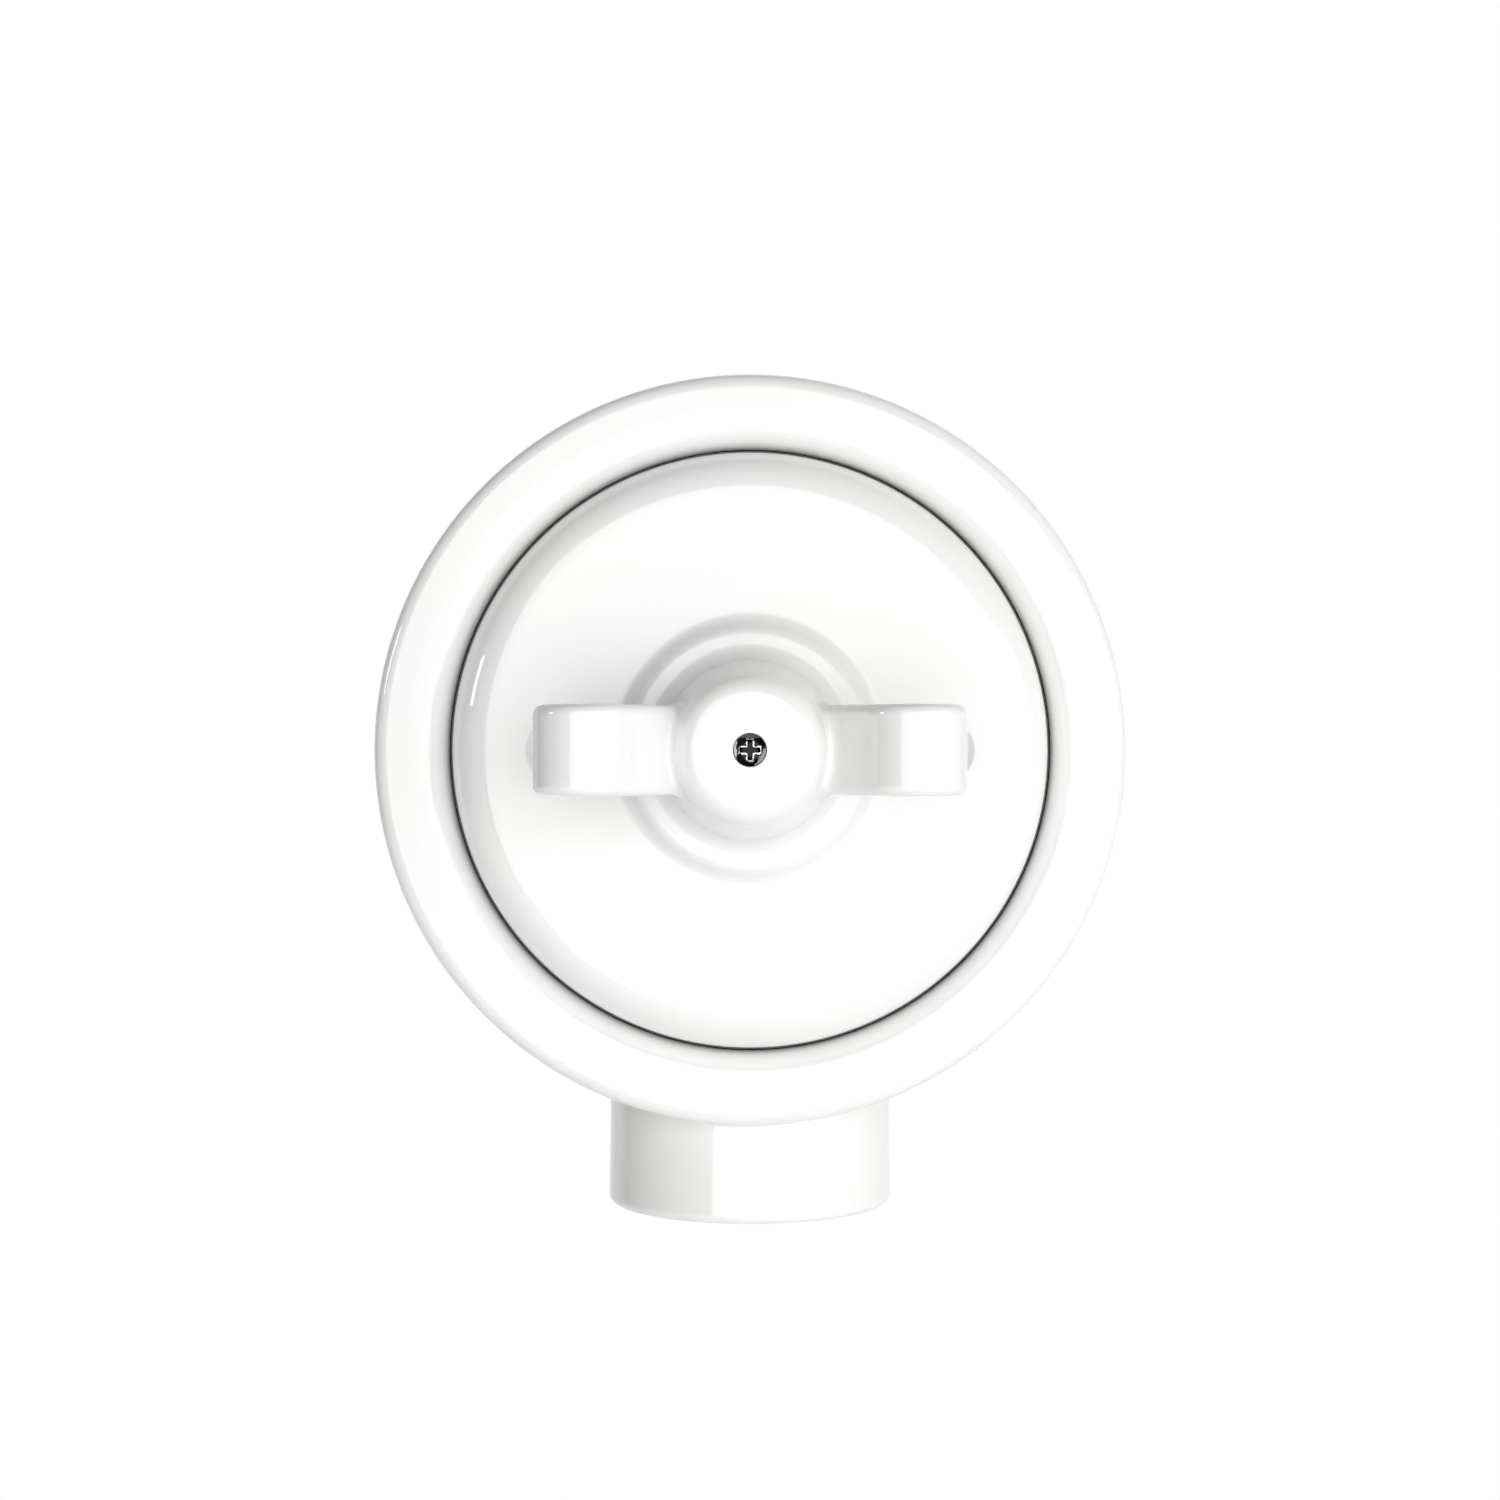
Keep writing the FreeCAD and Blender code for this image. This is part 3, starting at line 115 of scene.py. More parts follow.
def arc_points(before, corner, after, rounding, arc_step):
    """The points of a rounded corner between two straight runs."""
    here = Vector(corner)
    to_before = (Vector(before) - here).normalized()
    to_after = (Vector(after) - here).normalized()
    half = to_before.angle(to_after) / 2
    reach = rounding / math.tan(half)
    centre = here + (to_before + to_after).normalized() * (rounding / math.sin(half))
    first = here + to_before * reach
    last = here + to_after * reach
    start = math.atan2(first.y - centre.y, first.x - centre.x)
    turn = math.atan2(last.y - centre.y, last.x - centre.x) - start
    turn = (turn + math.pi) % math.tau - math.pi
    steps = max(2, math.ceil(math.degrees(abs(turn)) / arc_step))
    angles = [start + turn * step / steps for step in range(steps + 1)]
    arc = [centre + Vector((math.cos(angle), math.sin(angle))) * rounding for angle in angles]
    guard = min(GUARD, rounding / 3)
    return [first + to_before * guard] + arc + [last + to_after * guard]


def profile(corners, arc_step=3.0):
    """A closed row of (radius, depth[, rounding]) corners as points, with real arcs."""
    points = []
    for index, corner in enumerate(corners):
        before = corners[index - 1][:2]
        after = corners[(index + 1) % len(corners)][:2]
        if len(corner) > 2:
            points += arc_points(before, corner[:2], after, corner[2], arc_step)
        else:
            points.append(Vector(corner))
    return points


def spun(name, points, steps=256):
    """A closed profile spun all the way round the switch's axis, as an object."""
    mesh = bmesh.new()
    verts = [mesh.verts.new((point.x * MM, -point.y * MM, 0)) for point in points]
    edges = [mesh.edges.new((verts[index - 1], verts[index])) for index in range(len(verts))]
    bmesh.ops.spin(mesh, geom=verts + edges, cent=ORIGIN, axis=AXIS, dvec=(0, 0, 0), angle=math.tau,
                   steps=steps, use_merge=True, use_normal_flip=False, use_duplicate=False)
    return as_object(name, mesh)


def as_object(name, mesh, same_place=1e-7):
    """A finished mesh as an object at the origin."""
    bmesh.ops.remove_doubles(mesh, verts=mesh.verts, dist=same_place)
    bmesh.ops.recalc_face_normals(mesh, faces=mesh.faces)
    data = bpy.data.meshes.new(name)
    mesh.to_mesh(data)
    mesh.free()
    made = bpy.data.objects.new(name, data)
    scene.collection.objects.link(made)
    return made


def moved(piece, place):
    """Shift a piece's mesh by a place in millimetres."""
    piece.data.transform(Matrix.Translation(Vector(place) * MM))
    return piece


def plug(name, radius, low, high, place, direction, steps=96):
    """A round rod from low to high along a direction through a place, as a cutter or a boss."""
    mesh = bmesh.new()
    turn = Vector((0, 0, 1)).rotation_difference(Vector(direction)).to_matrix().to_4x4()
    middle = Vector(place) * MM + Vector(direction) * ((low + high) / 2 * MM)
    bmesh.ops.create_cone(mesh, cap_ends=True, cap_tris=False, segments=steps, radius1=radius * MM,
                          radius2=radius * MM, depth=(high - low) * MM,
                          matrix=Matrix.Translation(middle) @ turn)
    return as_object(name, mesh)


@contextmanager
def reshaping(piece):
    """The piece's mesh, open for bmesh operators and written back after them."""
    mesh = bmesh.new()
    mesh.from_mesh(piece.data)
    yield mesh
    mesh.to_mesh(piece.data)
    mesh.free()


def combined(piece, helper, operation, side_by_side=0.001, too_short=0.0003):
    """Join a helper to a piece, or cut it out of it, and merge corners that this left side by side."""
    step = piece.modifiers.new("combine", "BOOLEAN")
    step.object = helper
    step.operation = operation
    step.solver = "EXACT"
    applied(piece)
    bpy.data.objects.remove(helper)
    with reshaping(piece) as mesh:
        bmesh.ops.remove_doubles(mesh, verts=mesh.verts, dist=side_by_side * MM)
        bmesh.ops.dissolve_degenerate(mesh, edges=mesh.edges, dist=too_short * MM)


def applied(piece):
    """Give the piece the mesh that its modifiers show, and drop the modifiers."""
    bpy.context.view_layer.update()
    shown = piece.evaluated_get(bpy.context.evaluated_depsgraph_get())
    data = bpy.data.meshes.new_from_object(shown)
    old = piece.data
    piece.modifiers.clear()
    piece.data = data
    bpy.data.meshes.remove(old)
    data.name = piece.name


def smoothed(piece, sharp_angle=35):
    """Smooth shading, but for edges over an angle."""
    piece.data.shade_smooth()
    piece.data.set_sharp_from_angle(angle=math.radians(sharp_angle))


def finished(piece, node, body, sharp_angle=35):
    """A shaded piece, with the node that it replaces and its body."""
    smoothed(piece, sharp_angle)
    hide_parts(node)
    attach(piece, body)
    piece.data.calc_loop_triangles()
    print(piece.name, "has", len(piece.data.loop_triangles), "triangles")


# %% [markdown]
# ## The box
#
# The box is one turned bowl. Its front ring is nearly flat, with a tight outer edge and a wide soft
# one towards the cover, and a ledge inside carries the cover. The spout is turned about its own
# axis, and its foot follows the round wall: a ball that rolls along the corner between spout and
# wall touches both, and the path that it sweeps is the soft valley that glaze fills in. No spin
# gives a foot that changes on its way round, so the spout's lines are set one by one.

# %% Box
box = spun("porcelain_box", profile([
    (0, 0), (S.box, 0, S.back_round), (S.box, S.front - S.ring_fall, S.ring_edge),
    (S.crest, S.front, S.crest_round), (S.opening, S.front - S.opening_fall, S.opening_round),
    (S.opening, S.seat), (S.ledge, S.seat), (S.ledge, S.seat - S.ledge_thick),
    (S.cavity, S.seat - S.ledge_thick - S.ledge_slope), (S.cavity, S.floor, S.floor_round),
    (0, S.floor),
]))


def spout_line(around, sunk=0.03, buried=3.0, inside=44.0, lip_steps=12, root_steps=10):
    """One line of the spout's outside, from the mouth's middle to the foot on the wall."""
    cos, sin = math.cos(around), math.sin(around)

    def at(radius, reach):
        return Vector((radius * cos, -(S.spout_depth + radius * sin), -reach))

    rim = S.spout - S.spout_lip
    line = [at(0, S.spout_reach), at(rim - GUARD, S.spout_reach)]
    for part in range(lip_steps + 1):
        angle = math.pi / 2 * part / lip_steps
        line.append(at(rim + S.spout_lip * math.sin(angle),
                       S.spout_reach - S.spout_lip + S.spout_lip * math.cos(angle)))
    line.append(at(S.spout, S.spout_reach - S.spout_lip - GUARD))
    ball = at(S.spout + S.spout_root, 0)
    ball.z = -math.sqrt((S.box + S.spout_root) ** 2 - ball.x ** 2)
    towards_spout = at(S.spout, -ball.z) - ball
    towards_wall = Vector((-ball.x, 0, -ball.z)).normalized()
    for part in range(root_steps + 1):
        line.append(ball + towards_spout.slerp(towards_wall * (S.spout_root + sunk), part / root_steps))
    return line + [ball + towards_wall * (S.spout_root + buried), at(0, inside)]


def spout_form(steps=192, off_the_back=0.02):
    """The spout's outside as a closed solid that reaches a little into the round wall."""
    mesh = bmesh.new()
    rows = []
    for step in range(steps):
        line = spout_line(math.tau * step / steps)
        rows.append([mesh.verts.new((p.x * MM, min(p.y, -off_the_back) * MM, p.z * MM)) for p in line])
    for index, row in enumerate(rows):
        other = rows[(index + 1) % steps]
        for low in range(len(row) - 1):
            mesh.faces.new((row[low], row[low + 1], other[low + 1], other[low]))
    return as_object("spout", mesh)


combined(box, spout_form(), "UNION")
spout_axis = (0, -S.spout_depth, 0)
bore_end = S.spout_reach - S.conduit_length
combined(box, plug("bore", S.conduit, bore_end, S.spout_reach + PAST, spout_axis, DOWN), "DIFFERENCE")
combined(box, plug("lead_in", S.cable, S.cable_end, bore_end + PAST, spout_axis, DOWN), "DIFFERENCE")
insert_end = S.bridge_seat - S.insert_length
head_end = S.floor - S.wall_head_depth
for side in (-1, 1):
    at_boss = (side * S.boss_place, 0, 0)
    at_wall_hole = (0, 0, side * S.wall_place)
    combined(box, plug("boss", S.boss, S.floor - PAST, S.bridge_seat, at_boss, OUT), "UNION")
    for name, radius, low, high, place in (
            ("insert_hole", S.insert, insert_end, S.bridge_seat, at_boss),
            ("wall_hole", S.wall_hole, -PAST, S.floor, at_wall_hole),
            ("wall_head", S.wall_head, head_end, S.floor, at_wall_hole)):
        combined(box, plug(name, radius, low, high + PAST, place, OUT), "DIFFERENCE")
finished(box, "base_box", "housing")


# %% [markdown]
# ## The cover
#
# The cover is a shallow turned cap. Its outer edge is very round, and in the middle an ogee collar
# rises in two soft steps around the knob's foot. The same profile goes on inside, down to the
# recess that takes the ring nut. Under each ear lies a shallow round dish, whose rim just shows
# beyond the ear's tip. A turned cutter with a flared mouth cuts it and rounds its rim at once. The
# cut leaves odd faces on the flat, so the normals then follow the largest faces and it stays flat.

# %% Cover
cover = spun("porcelain_cover", profile([
    (S.cover_hole, S.cover_inside), (S.cover - S.skirt, S.cover_inside, S.skirt_round),
    (S.cover - S.skirt, S.seat), (S.cover, S.seat), (S.cover, S.cover_front, S.cover_round),
    (S.collar_root, S.cover_front, S.collar_root_round),
    (S.collar_step, S.collar_step_depth, S.collar_step_round),
    (S.collar_foot, S.collar_foot_depth, S.collar_foot_round),
    (S.collar, S.collar_top, S.collar_round), (S.recess, S.collar_top, S.collar_round),
    (S.recess, S.recess_floor), (S.cover_hole, S.recess_floor),
]))
well_bottom = S.cover_front - S.well_depth
well_mouth = S.cover_front + 0.02
for side in (-1, 1):
    well = spun("well", profile([
        (0, well_bottom), (S.well_floor, well_bottom, S.well_edge), (S.well, well_mouth, S.well_edge),
        (S.well + PAST, well_mouth), (S.well + PAST, S.cover_front + PAST), (0, S.cover_front + PAST),
    ], arc_step=10), steps=96)
    combined(cover, moved(well, (side * S.well_place, 0, 0)), "DIFFERENCE")
smoothed(cover)
flattened = cover.modifiers.new("flat", "WEIGHTED_NORMAL")
flattened.keep_sharp = True
flattened.weight = 100
applied(cover)
finished(cover, "cover_disc", "housing")


# %% [markdown]
# ## The butterfly knob
#
# The knob is pressed in a two-part mould: a round hub and two flat ears that rise like wings, under
# thick glaze that fills every valley. A join of two solids leaves a hard crease there, so the skin
# is found in another way. The hub and the ear each tell how far a point is from their skin, and a
# rolling ball joins the two distances with soft valleys. The hub's line goes on past the axis, so
# that the distance has no jump there. An even mesh of the plain join is then drawn onto the place
# where the joined distance is nothing, in a few short steps.

# %% Distance to the knob
def line_distance(x, y, line):
    """The signed distance of points to a closed line, negative inside it."""
    nearest = np.full(x.shape, np.inf)
    inside = np.zeros(x.shape, bool)
    for index, (bx, by) in enumerate(line):
        ax, ay = line[index - 1]
        ex, ey = bx - ax, by - ay
        length = ex * ex + ey * ey
        if length < 1e-12:  # a corner that is there twice
            continue
        share = np.clip(((x - ax) * ex + (y - ay) * ey) / length, 0, 1)
        nearest = np.minimum(nearest, np.hypot(x - ax - share * ex, y - ay - share * ey))
        if ey:
            inside ^= ((ay > y) != (by > y)) & (x < ax + (y - ay) * ex / ey)
    return np.where(inside, -nearest, nearest)


def ear_line(steps=180):
    """The side view of an ear: a round paddle drawn down to a narrow root inside the hub."""
    centre = Vector((S.ear_tip - S.paddle, S.paddle_depth))
    ends = []
    for depth, side in ((S.ear_root_bottom, -1), (S.ear_root_top, 1)):
        away = centre - Vector((S.ear_root, depth))
        lean = math.atan2(away.y, away.x) + side * math.asin(S.paddle / away.length)
        ends.append(lean + side * math.pi / 2)
    low, high = ends
    arc = [low + (high - low) * step / steps for step in range(steps + 1)]
    paddle = [centre + Vector((math.cos(angle), math.sin(angle))) * S.paddle for angle in arc]
    return [Vector((S.ear_root, S.ear_root_bottom)), *paddle, Vector((S.ear_root, S.ear_root_top))]


EAR_LINE = ear_line()
HUB_CORNERS = [
    (S.spigot, S.spigot_back), (S.spigot, S.hub_foot), (S.hub, S.hub_foot, S.hub_foot_round),
    (S.hub - S.hub_taper, S.knob_top, S.hub_round),
]
HUB_LINE = profile([(-2, S.spigot_back), *HUB_CORNERS, (-2, S.knob_top)], arc_step=1.0)


def knob_distance(place):
    """The signed distance to the knob's skin, in millimetres, with ball-soft valleys."""
    x, depth, z = place[:, 0], -place[:, 1], place[:, 2]
    hub = line_distance(np.hypot(x, z), depth, HUB_LINE)
    side = line_distance(np.abs(x), depth, EAR_LINE) + S.ear_edge
    face = np.abs(z) - S.ear_half_width + S.ear_edge
    corner = np.hypot(np.maximum(side, 0), np.maximum(face, 0))
    ear = np.minimum(np.maximum(side, face), 0) + corner - S.ear_edge
    ball = S.ear_valley
    soft = np.hypot(np.maximum(ball - hub, 0), np.maximum(ball - ear, 0))
    return np.maximum(ball, np.minimum(hub, ear)) - soft


# %% Knob
def drawn_onto(piece, distance, rounds=6, small=0.01, stride=0.5, least_steepness=0.25):
    """Move each vertex along the steepest way to where the distance is nothing."""
    data = piece.data
    flat = np.zeros(len(data.vertices) * 3)
    data.vertices.foreach_get("co", flat)
    place = flat.reshape(-1, 3) / MM
    for _ in range(rounds):
        rise = [distance(place + small * way) - distance(place - small * way) for way in np.eye(3)]
        slope = np.stack(rise, axis=1) / (2 * small)
        steepness = np.maximum((slope ** 2).sum(axis=1, keepdims=True), least_steepness)
        place = place - np.clip(distance(place), -stride, stride)[:, None] * slope / steepness
    data.vertices.foreach_set("co", (place * MM).ravel())
    data.update()


def grown_from(mesh, outline):
    """A block's side face from its corners, and the corners of the opposite side, still in place."""
    rim = [mesh.verts.new(corner) for corner in outline]
    grown = bmesh.ops.extrude_face_region(mesh, geom=[mesh.faces.new(rim)])
    return [item for item in grown["geom"] if isinstance(item, bmesh.types.BMVert)]


def ear_block(side):
    """One ear as a plain flat block with the paddle's outline."""
    mesh = bmesh.new()
    low = -S.ear_half_width * MM
    high_side = grown_from(mesh, [(side * p.x * MM, -p.y * MM, low) for p in EAR_LINE[::3]])
    bmesh.ops.translate(mesh, verts=high_side, vec=(0, 0, 2 * S.ear_half_width * MM))
    return as_object("ear", mesh)


hub_profile = profile([(0, S.spigot_back), *HUB_CORNERS, (0, S.knob_top)], arc_step=6)
knob = spun("porcelain_knob", hub_profile, steps=96)
for side in (-1, 1):
    combined(knob, ear_block(side), "UNION")
evened = knob.modifiers.new("even", "REMESH")
evened.mode = "VOXEL"
evened.voxel_size = 0.3 * MM
applied(knob)
drawn_onto(knob, knob_distance)
combined(knob, plug("screw_hole", S.screw_hole, S.screw_seat, IN_FRONT, ORIGIN, OUT), "DIFFERENCE")
shank_hole = plug("shank_hole", S.shank_hole, S.socket_top - PAST, IN_FRONT, ORIGIN, OUT)
combined(knob, shank_hole, "DIFFERENCE")
corner = S.socket * math.sqrt(2)
square = plug("socket", corner, S.spigot_back - PAST, S.socket_top, ORIGIN, OUT, steps=4)
combined(knob, square, "DIFFERENCE")
finished(knob, "knob", "turning_parts", sharp_angle=50)


# %% [markdown]
# ## The knob's screw
#
# A small dark nickel screw with a domed head holds the knob. A punch with four arms presses the
# cross recess, so its walls lean. The rim of the recess gets a narrow bevel, because light catches
# on it and draws the cross.

# %% Screw
screw = spun("knob_screw_head", profile([
    (0, S.screw_end), (S.shank - S.shank_bevel, S.screw_end),
    (S.shank, S.screw_end + S.shank_bevel_length), (S.shank, S.head_back),
    (S.screw, S.head_back, S.head_back_round), (S.screw, S.head_top - S.head_side, S.head_side_round),
    (S.dome, S.head_top - S.dome_fall, S.dome_round), (0, S.head_top),
]), steps=96)


def cross_punch(flare=0.14, ahead=0.3, rounding=0.09):
    """A four-armed punch that gets narrower towards its end."""
    mesh = bmesh.new()
    half, reach = S.cross_half, S.cross_reach
    outline = [(half, half), (half, reach), (-half, reach), (-half, half), (-reach, half),
               (-reach, -half), (-half, -half), (-half, -reach), (half, -reach), (half, -half),
               (reach, -half), (reach, half)]
    front = -(S.head_top + ahead) * MM
    deep = grown_from(mesh, [(x * (1 + flare) * MM, front, z * (1 + flare) * MM) for x, z in outline])
    shrink = (1 - 2 * flare) / (1 + flare)
    bmesh.ops.scale(mesh, verts=deep, vec=(shrink, 1, shrink))
    bmesh.ops.translate(mesh, verts=deep, vec=(0, (S.cross_depth + ahead) * MM, 0))
    upright = [edge for edge in mesh.edges if abs(edge.verts[0].co.y - edge.verts[1].co.y) > 0.5 * MM]
    bmesh.ops.bevel(mesh, geom=upright, offset=rounding * MM, offset_type="OFFSET", segments=3,
                    profile=0.5, affect="EDGES", material=-1)
    return as_object("cross", mesh)


def rim_bevelled(piece, width=0.05, below_top=0.5, within=1.7, sharp_angle=40):
    """A narrow bevel on the recess's rim."""
    with reshaping(piece) as mesh:
        rim = [edge for edge in mesh.edges if len(edge.link_faces) == 2
               and edge.calc_face_angle() > math.radians(sharp_angle)
               and max(vert.co.y for vert in edge.verts) < -(S.head_top - below_top) * MM
               and max(math.hypot(vert.co.x, vert.co.z) for vert in edge.verts) < within * MM]
        bmesh.ops.bevel(mesh, geom=rim, offset=width * MM, offset_type="OFFSET", segments=2,
                        profile=0.5, affect="EDGES", material=-1, clamp_overlap=True)


combined(screw, cross_punch(), "DIFFERENCE")
rim_bevelled(screw)
finished(screw, "knob_screw", "turning_parts", sharp_angle=30)


# %% [markdown]
# ## Helpers for the materials
#
# Every material is built from nodes. Two shared groups give the raw patterns: one evens out a noise
# to a mask between two limits, the other scatters small specks. Colour, shine and reflection stay
# in each material's own shader, so that a change to one finish never touches another.

# %% Node helpers
SOFT = {"interpolation_type": "SMOOTHSTEP"}


def put(tree, kind, settings=None, **inputs):
    """Add a node, set its settings, and link or set its inputs by name, or by number after an n."""
    made = tree.nodes.new("ShaderNode" + kind)
    for name, value in (settings or {}).items():
        setattr(made, name, value)
    for name, value in inputs.items():
        numbered = name[0] == "n" and name[1:].isdigit()
        join(tree, value, made.inputs[int(name[1:]) if numbered else name.replace("_", " ")])
    return made


def join(tree, value, socket):
    """Link a socket to another one, or set it to a value."""
    if isinstance(value, bpy.types.NodeSocket):
        tree.links.new(value, socket)
    elif socket.type == "RGBA" and len(value) == 3:
        socket.default_value = (*value, 1)
    else:
        socket.default_value = value


def new_group(name, inputs, output):
    """An empty node group with float inputs after its vector, and one output."""
    tree = bpy.data.node_groups.new(name, "ShaderNodeTree")
    tree.interface.new_socket("Vector", in_out="INPUT", socket_type="NodeSocketVector")
    for label, value in inputs:
        made = tree.interface.new_socket(label, in_out="INPUT", socket_type="NodeSocketFloat")
        made.default_value = value
    tree.interface.new_socket(output, in_out="OUTPUT", socket_type="NodeSocketFloat")
    return tree, tree.nodes.new("NodeGroupInput").outputs, tree.nodes.new("NodeGroupOutput").inputs


def make_mottle():
    """Noise turned into a mask that rises from 0 to 1 between two limits."""
    inputs = [("Scale", 100), ("Detail", 3), ("Low", 0.4), ("High", 0.6)]
    tree, given, result = new_group("mottle", inputs, "Mask")
    noise = put(tree, "TexNoise", Vector=given["Vector"], Scale=given["Scale"], Detail=given["Detail"])
    ramp = put(tree, "MapRange", SOFT, Value=noise.outputs["Fac"],
               From_Min=given["Low"], From_Max=given["High"])
    tree.links.new(ramp.outputs["Result"], result["Mask"])
    return tree


def make_specks():
    """Small round specks scattered at random, 1 in the middle of a speck and 0 beside it."""
    inputs = [("Scale", 100), ("Size", 0.05), ("Share", 0.2)]
    tree, given, result = new_group("specks", inputs, "Mask")
    cells = put(tree, "TexVoronoi", Vector=given["Vector"], Scale=given["Scale"])
    near = put(tree, "MapRange", SOFT, Value=cells.outputs["Distance"],
               From_Min=0.0, From_Max=given["Size"], To_Min=1.0, To_Max=0.0)
    draw = put(tree, "SeparateColor", Color=cells.outputs["Color"])
    few = put(tree, "Math", {"operation": "LESS_THAN"}, n0=draw.outputs[0], n1=given["Share"])
    both = put(tree, "Math", {"operation": "MULTIPLY"}, n0=near.outputs["Result"], n1=few.outputs[0])
    tree.links.new(both.outputs[0], result["Mask"])
    return tree


MOTTLE = make_mottle()
SPECKS = make_specks()


class Finish:
    """A material under construction: its tree, its shader and the object's own coordinates."""

    def __init__(self, name, **constants):
        self.material = bpy.data.materials.new(name)
        self.material.use_nodes = True
        self.tree = self.material.node_tree
        self.shader = self.tree.nodes["Principled BSDF"]
        self.place = self.put("TexCoord").outputs["Object"]
        for label, value in constants.items():
            self.shader.inputs[label.replace("_", " ")].default_value = value

    def put(self, kind, settings=None, **inputs):
        """A node in the material's own tree."""
        return put(self.tree, kind, settings, **inputs)

    def math(self, operation, first, second=0.0, third=0.0):
        """One step of arithmetic on masks and coordinates."""
        return self.put("Math", {"operation": operation}, n0=first, n1=second, n2=third).outputs[0]

    def pattern(self, tree, place=None, **inputs):
        """A shared pattern, read at the object's coordinates unless others are given."""
        made = self.tree.nodes.new("ShaderNodeGroup")
        made.node_tree = tree
        self.tree.links.new(place or self.place, made.inputs["Vector"])
        for label, value in inputs.items():
            made.inputs[label].default_value = value
        return made.outputs[0]

    def stretched(self, scale):
        """The object's coordinates, stretched for brushed and turned marks."""
        return self.put("Mapping", Vector=self.place, Scale=scale).outputs[0]

    def mix(self, mask, first, second):
        """A colour between two colours."""
        return self.put("Mix", {"data_type": "RGBA"}, n0=mask, n6=first, n7=second).outputs[2]

    def between(self, mask, low, high):
        """A number between two numbers."""
        return self.put("MapRange", Value=mask, To_Min=low, To_Max=high).outputs["Result"]

    def ramp(self, value, start, end, lowest=0.0):
        """A soft rise to 1 while a value goes from start to end."""
        return self.put("MapRange", SOFT, Value=value, From_Min=start, From_Max=end,
                        To_Min=lowest).outputs["Result"]

    def relief(self, height, distance, below=None):
        """A bump of the given height in metres, on top of another one."""
        made = self.put("Bump", Height=height, Distance=distance)
        if below:
            self.tree.links.new(below, made.inputs["Normal"])
        return made.outputs[0]

    def wired(self, **links):
        """The finished material, with these patterns led into its shader."""
        for label, socket in links.items():
            self.tree.links.new(socket, self.shader.inputs[label.replace("_", " ")])
        print(self.material.name, "has", len(self.tree.nodes), "nodes")
        return self.material


# %% [markdown]
# ## Glazed porcelain
#
# Glaze is a clear glass layer on a white body. The body's white wanders a little between warm and
# cool, the glass is very smooth but never quite flat, and a few pinholes and iron specks stay in
# it. The foot that stands in the kiln isn't glazed: it is dull and a little warmer. A mask by depth
# finds it. A ring-shaped mask paints shade into the narrow gap around the cover, nearly black, where
# the cavity behind stays dark.

# %% Porcelain
def make_porcelain():
    """Clear glaze over a white body, with a bare foot at the back and painted shade in the cover's gap.
    """
    finish = Finish("glazed_porcelain", IOR=1.7)
    drift = finish.pattern(MOTTLE, Scale=28.0, Detail=2.0, Low=0.3, High=0.7)
    specks = finish.pattern(SPECKS, Scale=90.0, Size=0.03, Share=0.12)
    white = finish.mix(drift, (0.865, 0.868, 0.865), (0.88, 0.876, 0.862))
    speckled = finish.mix(specks, white, (0.55, 0.5, 0.45))
    place = finish.put("SeparateXYZ", Vector=finish.place).outputs
    ragged = finish.pattern(MOTTLE, Scale=400.0, Detail=3.0, Low=0.2, High=0.8)
    radius = finish.math("SQRT", finish.math("ADD", finish.math("POWER", place["X"], 2.0),
                                             finish.math("POWER", place["Z"], 2.0)))
    at_back = finish.math("GREATER_THAN", place["Y"], finish.between(ragged, -0.7 * MM, -0.2 * MM))
    foot = finish.math("MULTIPLY", at_back, finish.math("LESS_THAN", radius, (S.box + 0.2) * MM))
    # Painted shade: the narrow gap around the cover is coloured nearly black, darker deeper in, where
    # the cavity stays dark.
    at_rim = finish.math("COMPARE", radius, (S.cover + S.opening) / 2 * MM, 0.3 * MM)
    in_gap = finish.math("MULTIPLY", at_rim, finish.math("LESS_THAN", place["Y"], -S.seat * MM))
    dust_and_shade = finish.math("MULTIPLY", in_gap, finish.ramp(place["Y"], -43.6 * MM, -41.5 * MM))
    bare = finish.mix(ragged, (0.73, 0.70, 0.635), (0.80, 0.775, 0.72))
    colour = finish.mix(dust_and_shade, finish.mix(foot, speckled, bare), (0.08, 0.076, 0.07))
    glass = finish.pattern(MOTTLE, Scale=150.0, Detail=4.0, Low=0.3, High=0.8)
    roughness = finish.between(foot, finish.between(glass, 0.01, 0.03), 0.75)
    swell = finish.put("TexNoise", Vector=finish.place, Scale=110.0, Detail=1.0).outputs["Fac"]
    peel = finish.put("TexNoise", Vector=finish.place, Scale=650.0, Detail=1.0).outputs["Fac"]
    normal = finish.relief(peel, 0.000003, finish.relief(swell, 0.00004))
    normal = finish.relief(finish.math("MULTIPLY", foot, ragged), 0.00003, normal)
    return finish.wired(Base_Color=colour, Roughness=roughness, Normal=normal)


# %% [markdown]
# ## Ceramic, resin and fibre inside
#
# The switch block is unglazed ceramic, pressed dry and fired: chalky, with grains and small pores.
# The rotor and the lid are dark moulded resin with a faint flow pattern, and the washers are red
# fibre, whose short hairs show as fine streaks.

# %% Ceramic, resin and fibre
def make_bare_ceramic():
    """Fired ceramic without glaze, with grains, stains and pores."""
    finish = Finish("bare_ceramic")
    grain = finish.pattern(MOTTLE, Scale=900.0, Detail=5.0, Low=0.35, High=0.65)
    stain = finish.pattern(MOTTLE, Scale=60.0, Detail=4.0, Low=0.45, High=0.75)
    pores = finish.pattern(SPECKS, Scale=700.0, Size=0.25, Share=0.25)
    colour = finish.mix(grain, (0.80, 0.77, 0.70), (0.86, 0.83, 0.77))
    colour = finish.mix(stain, colour, (0.76, 0.71, 0.62))
    colour = finish.mix(pores, colour, (0.55, 0.5, 0.42))
    normal = finish.relief(finish.between(pores, 1.0, 0.0), 0.00005, finish.relief(grain, 0.00002))
    return finish.wired(Base_Color=colour, Roughness=finish.between(grain, 0.62, 0.82), Normal=normal)


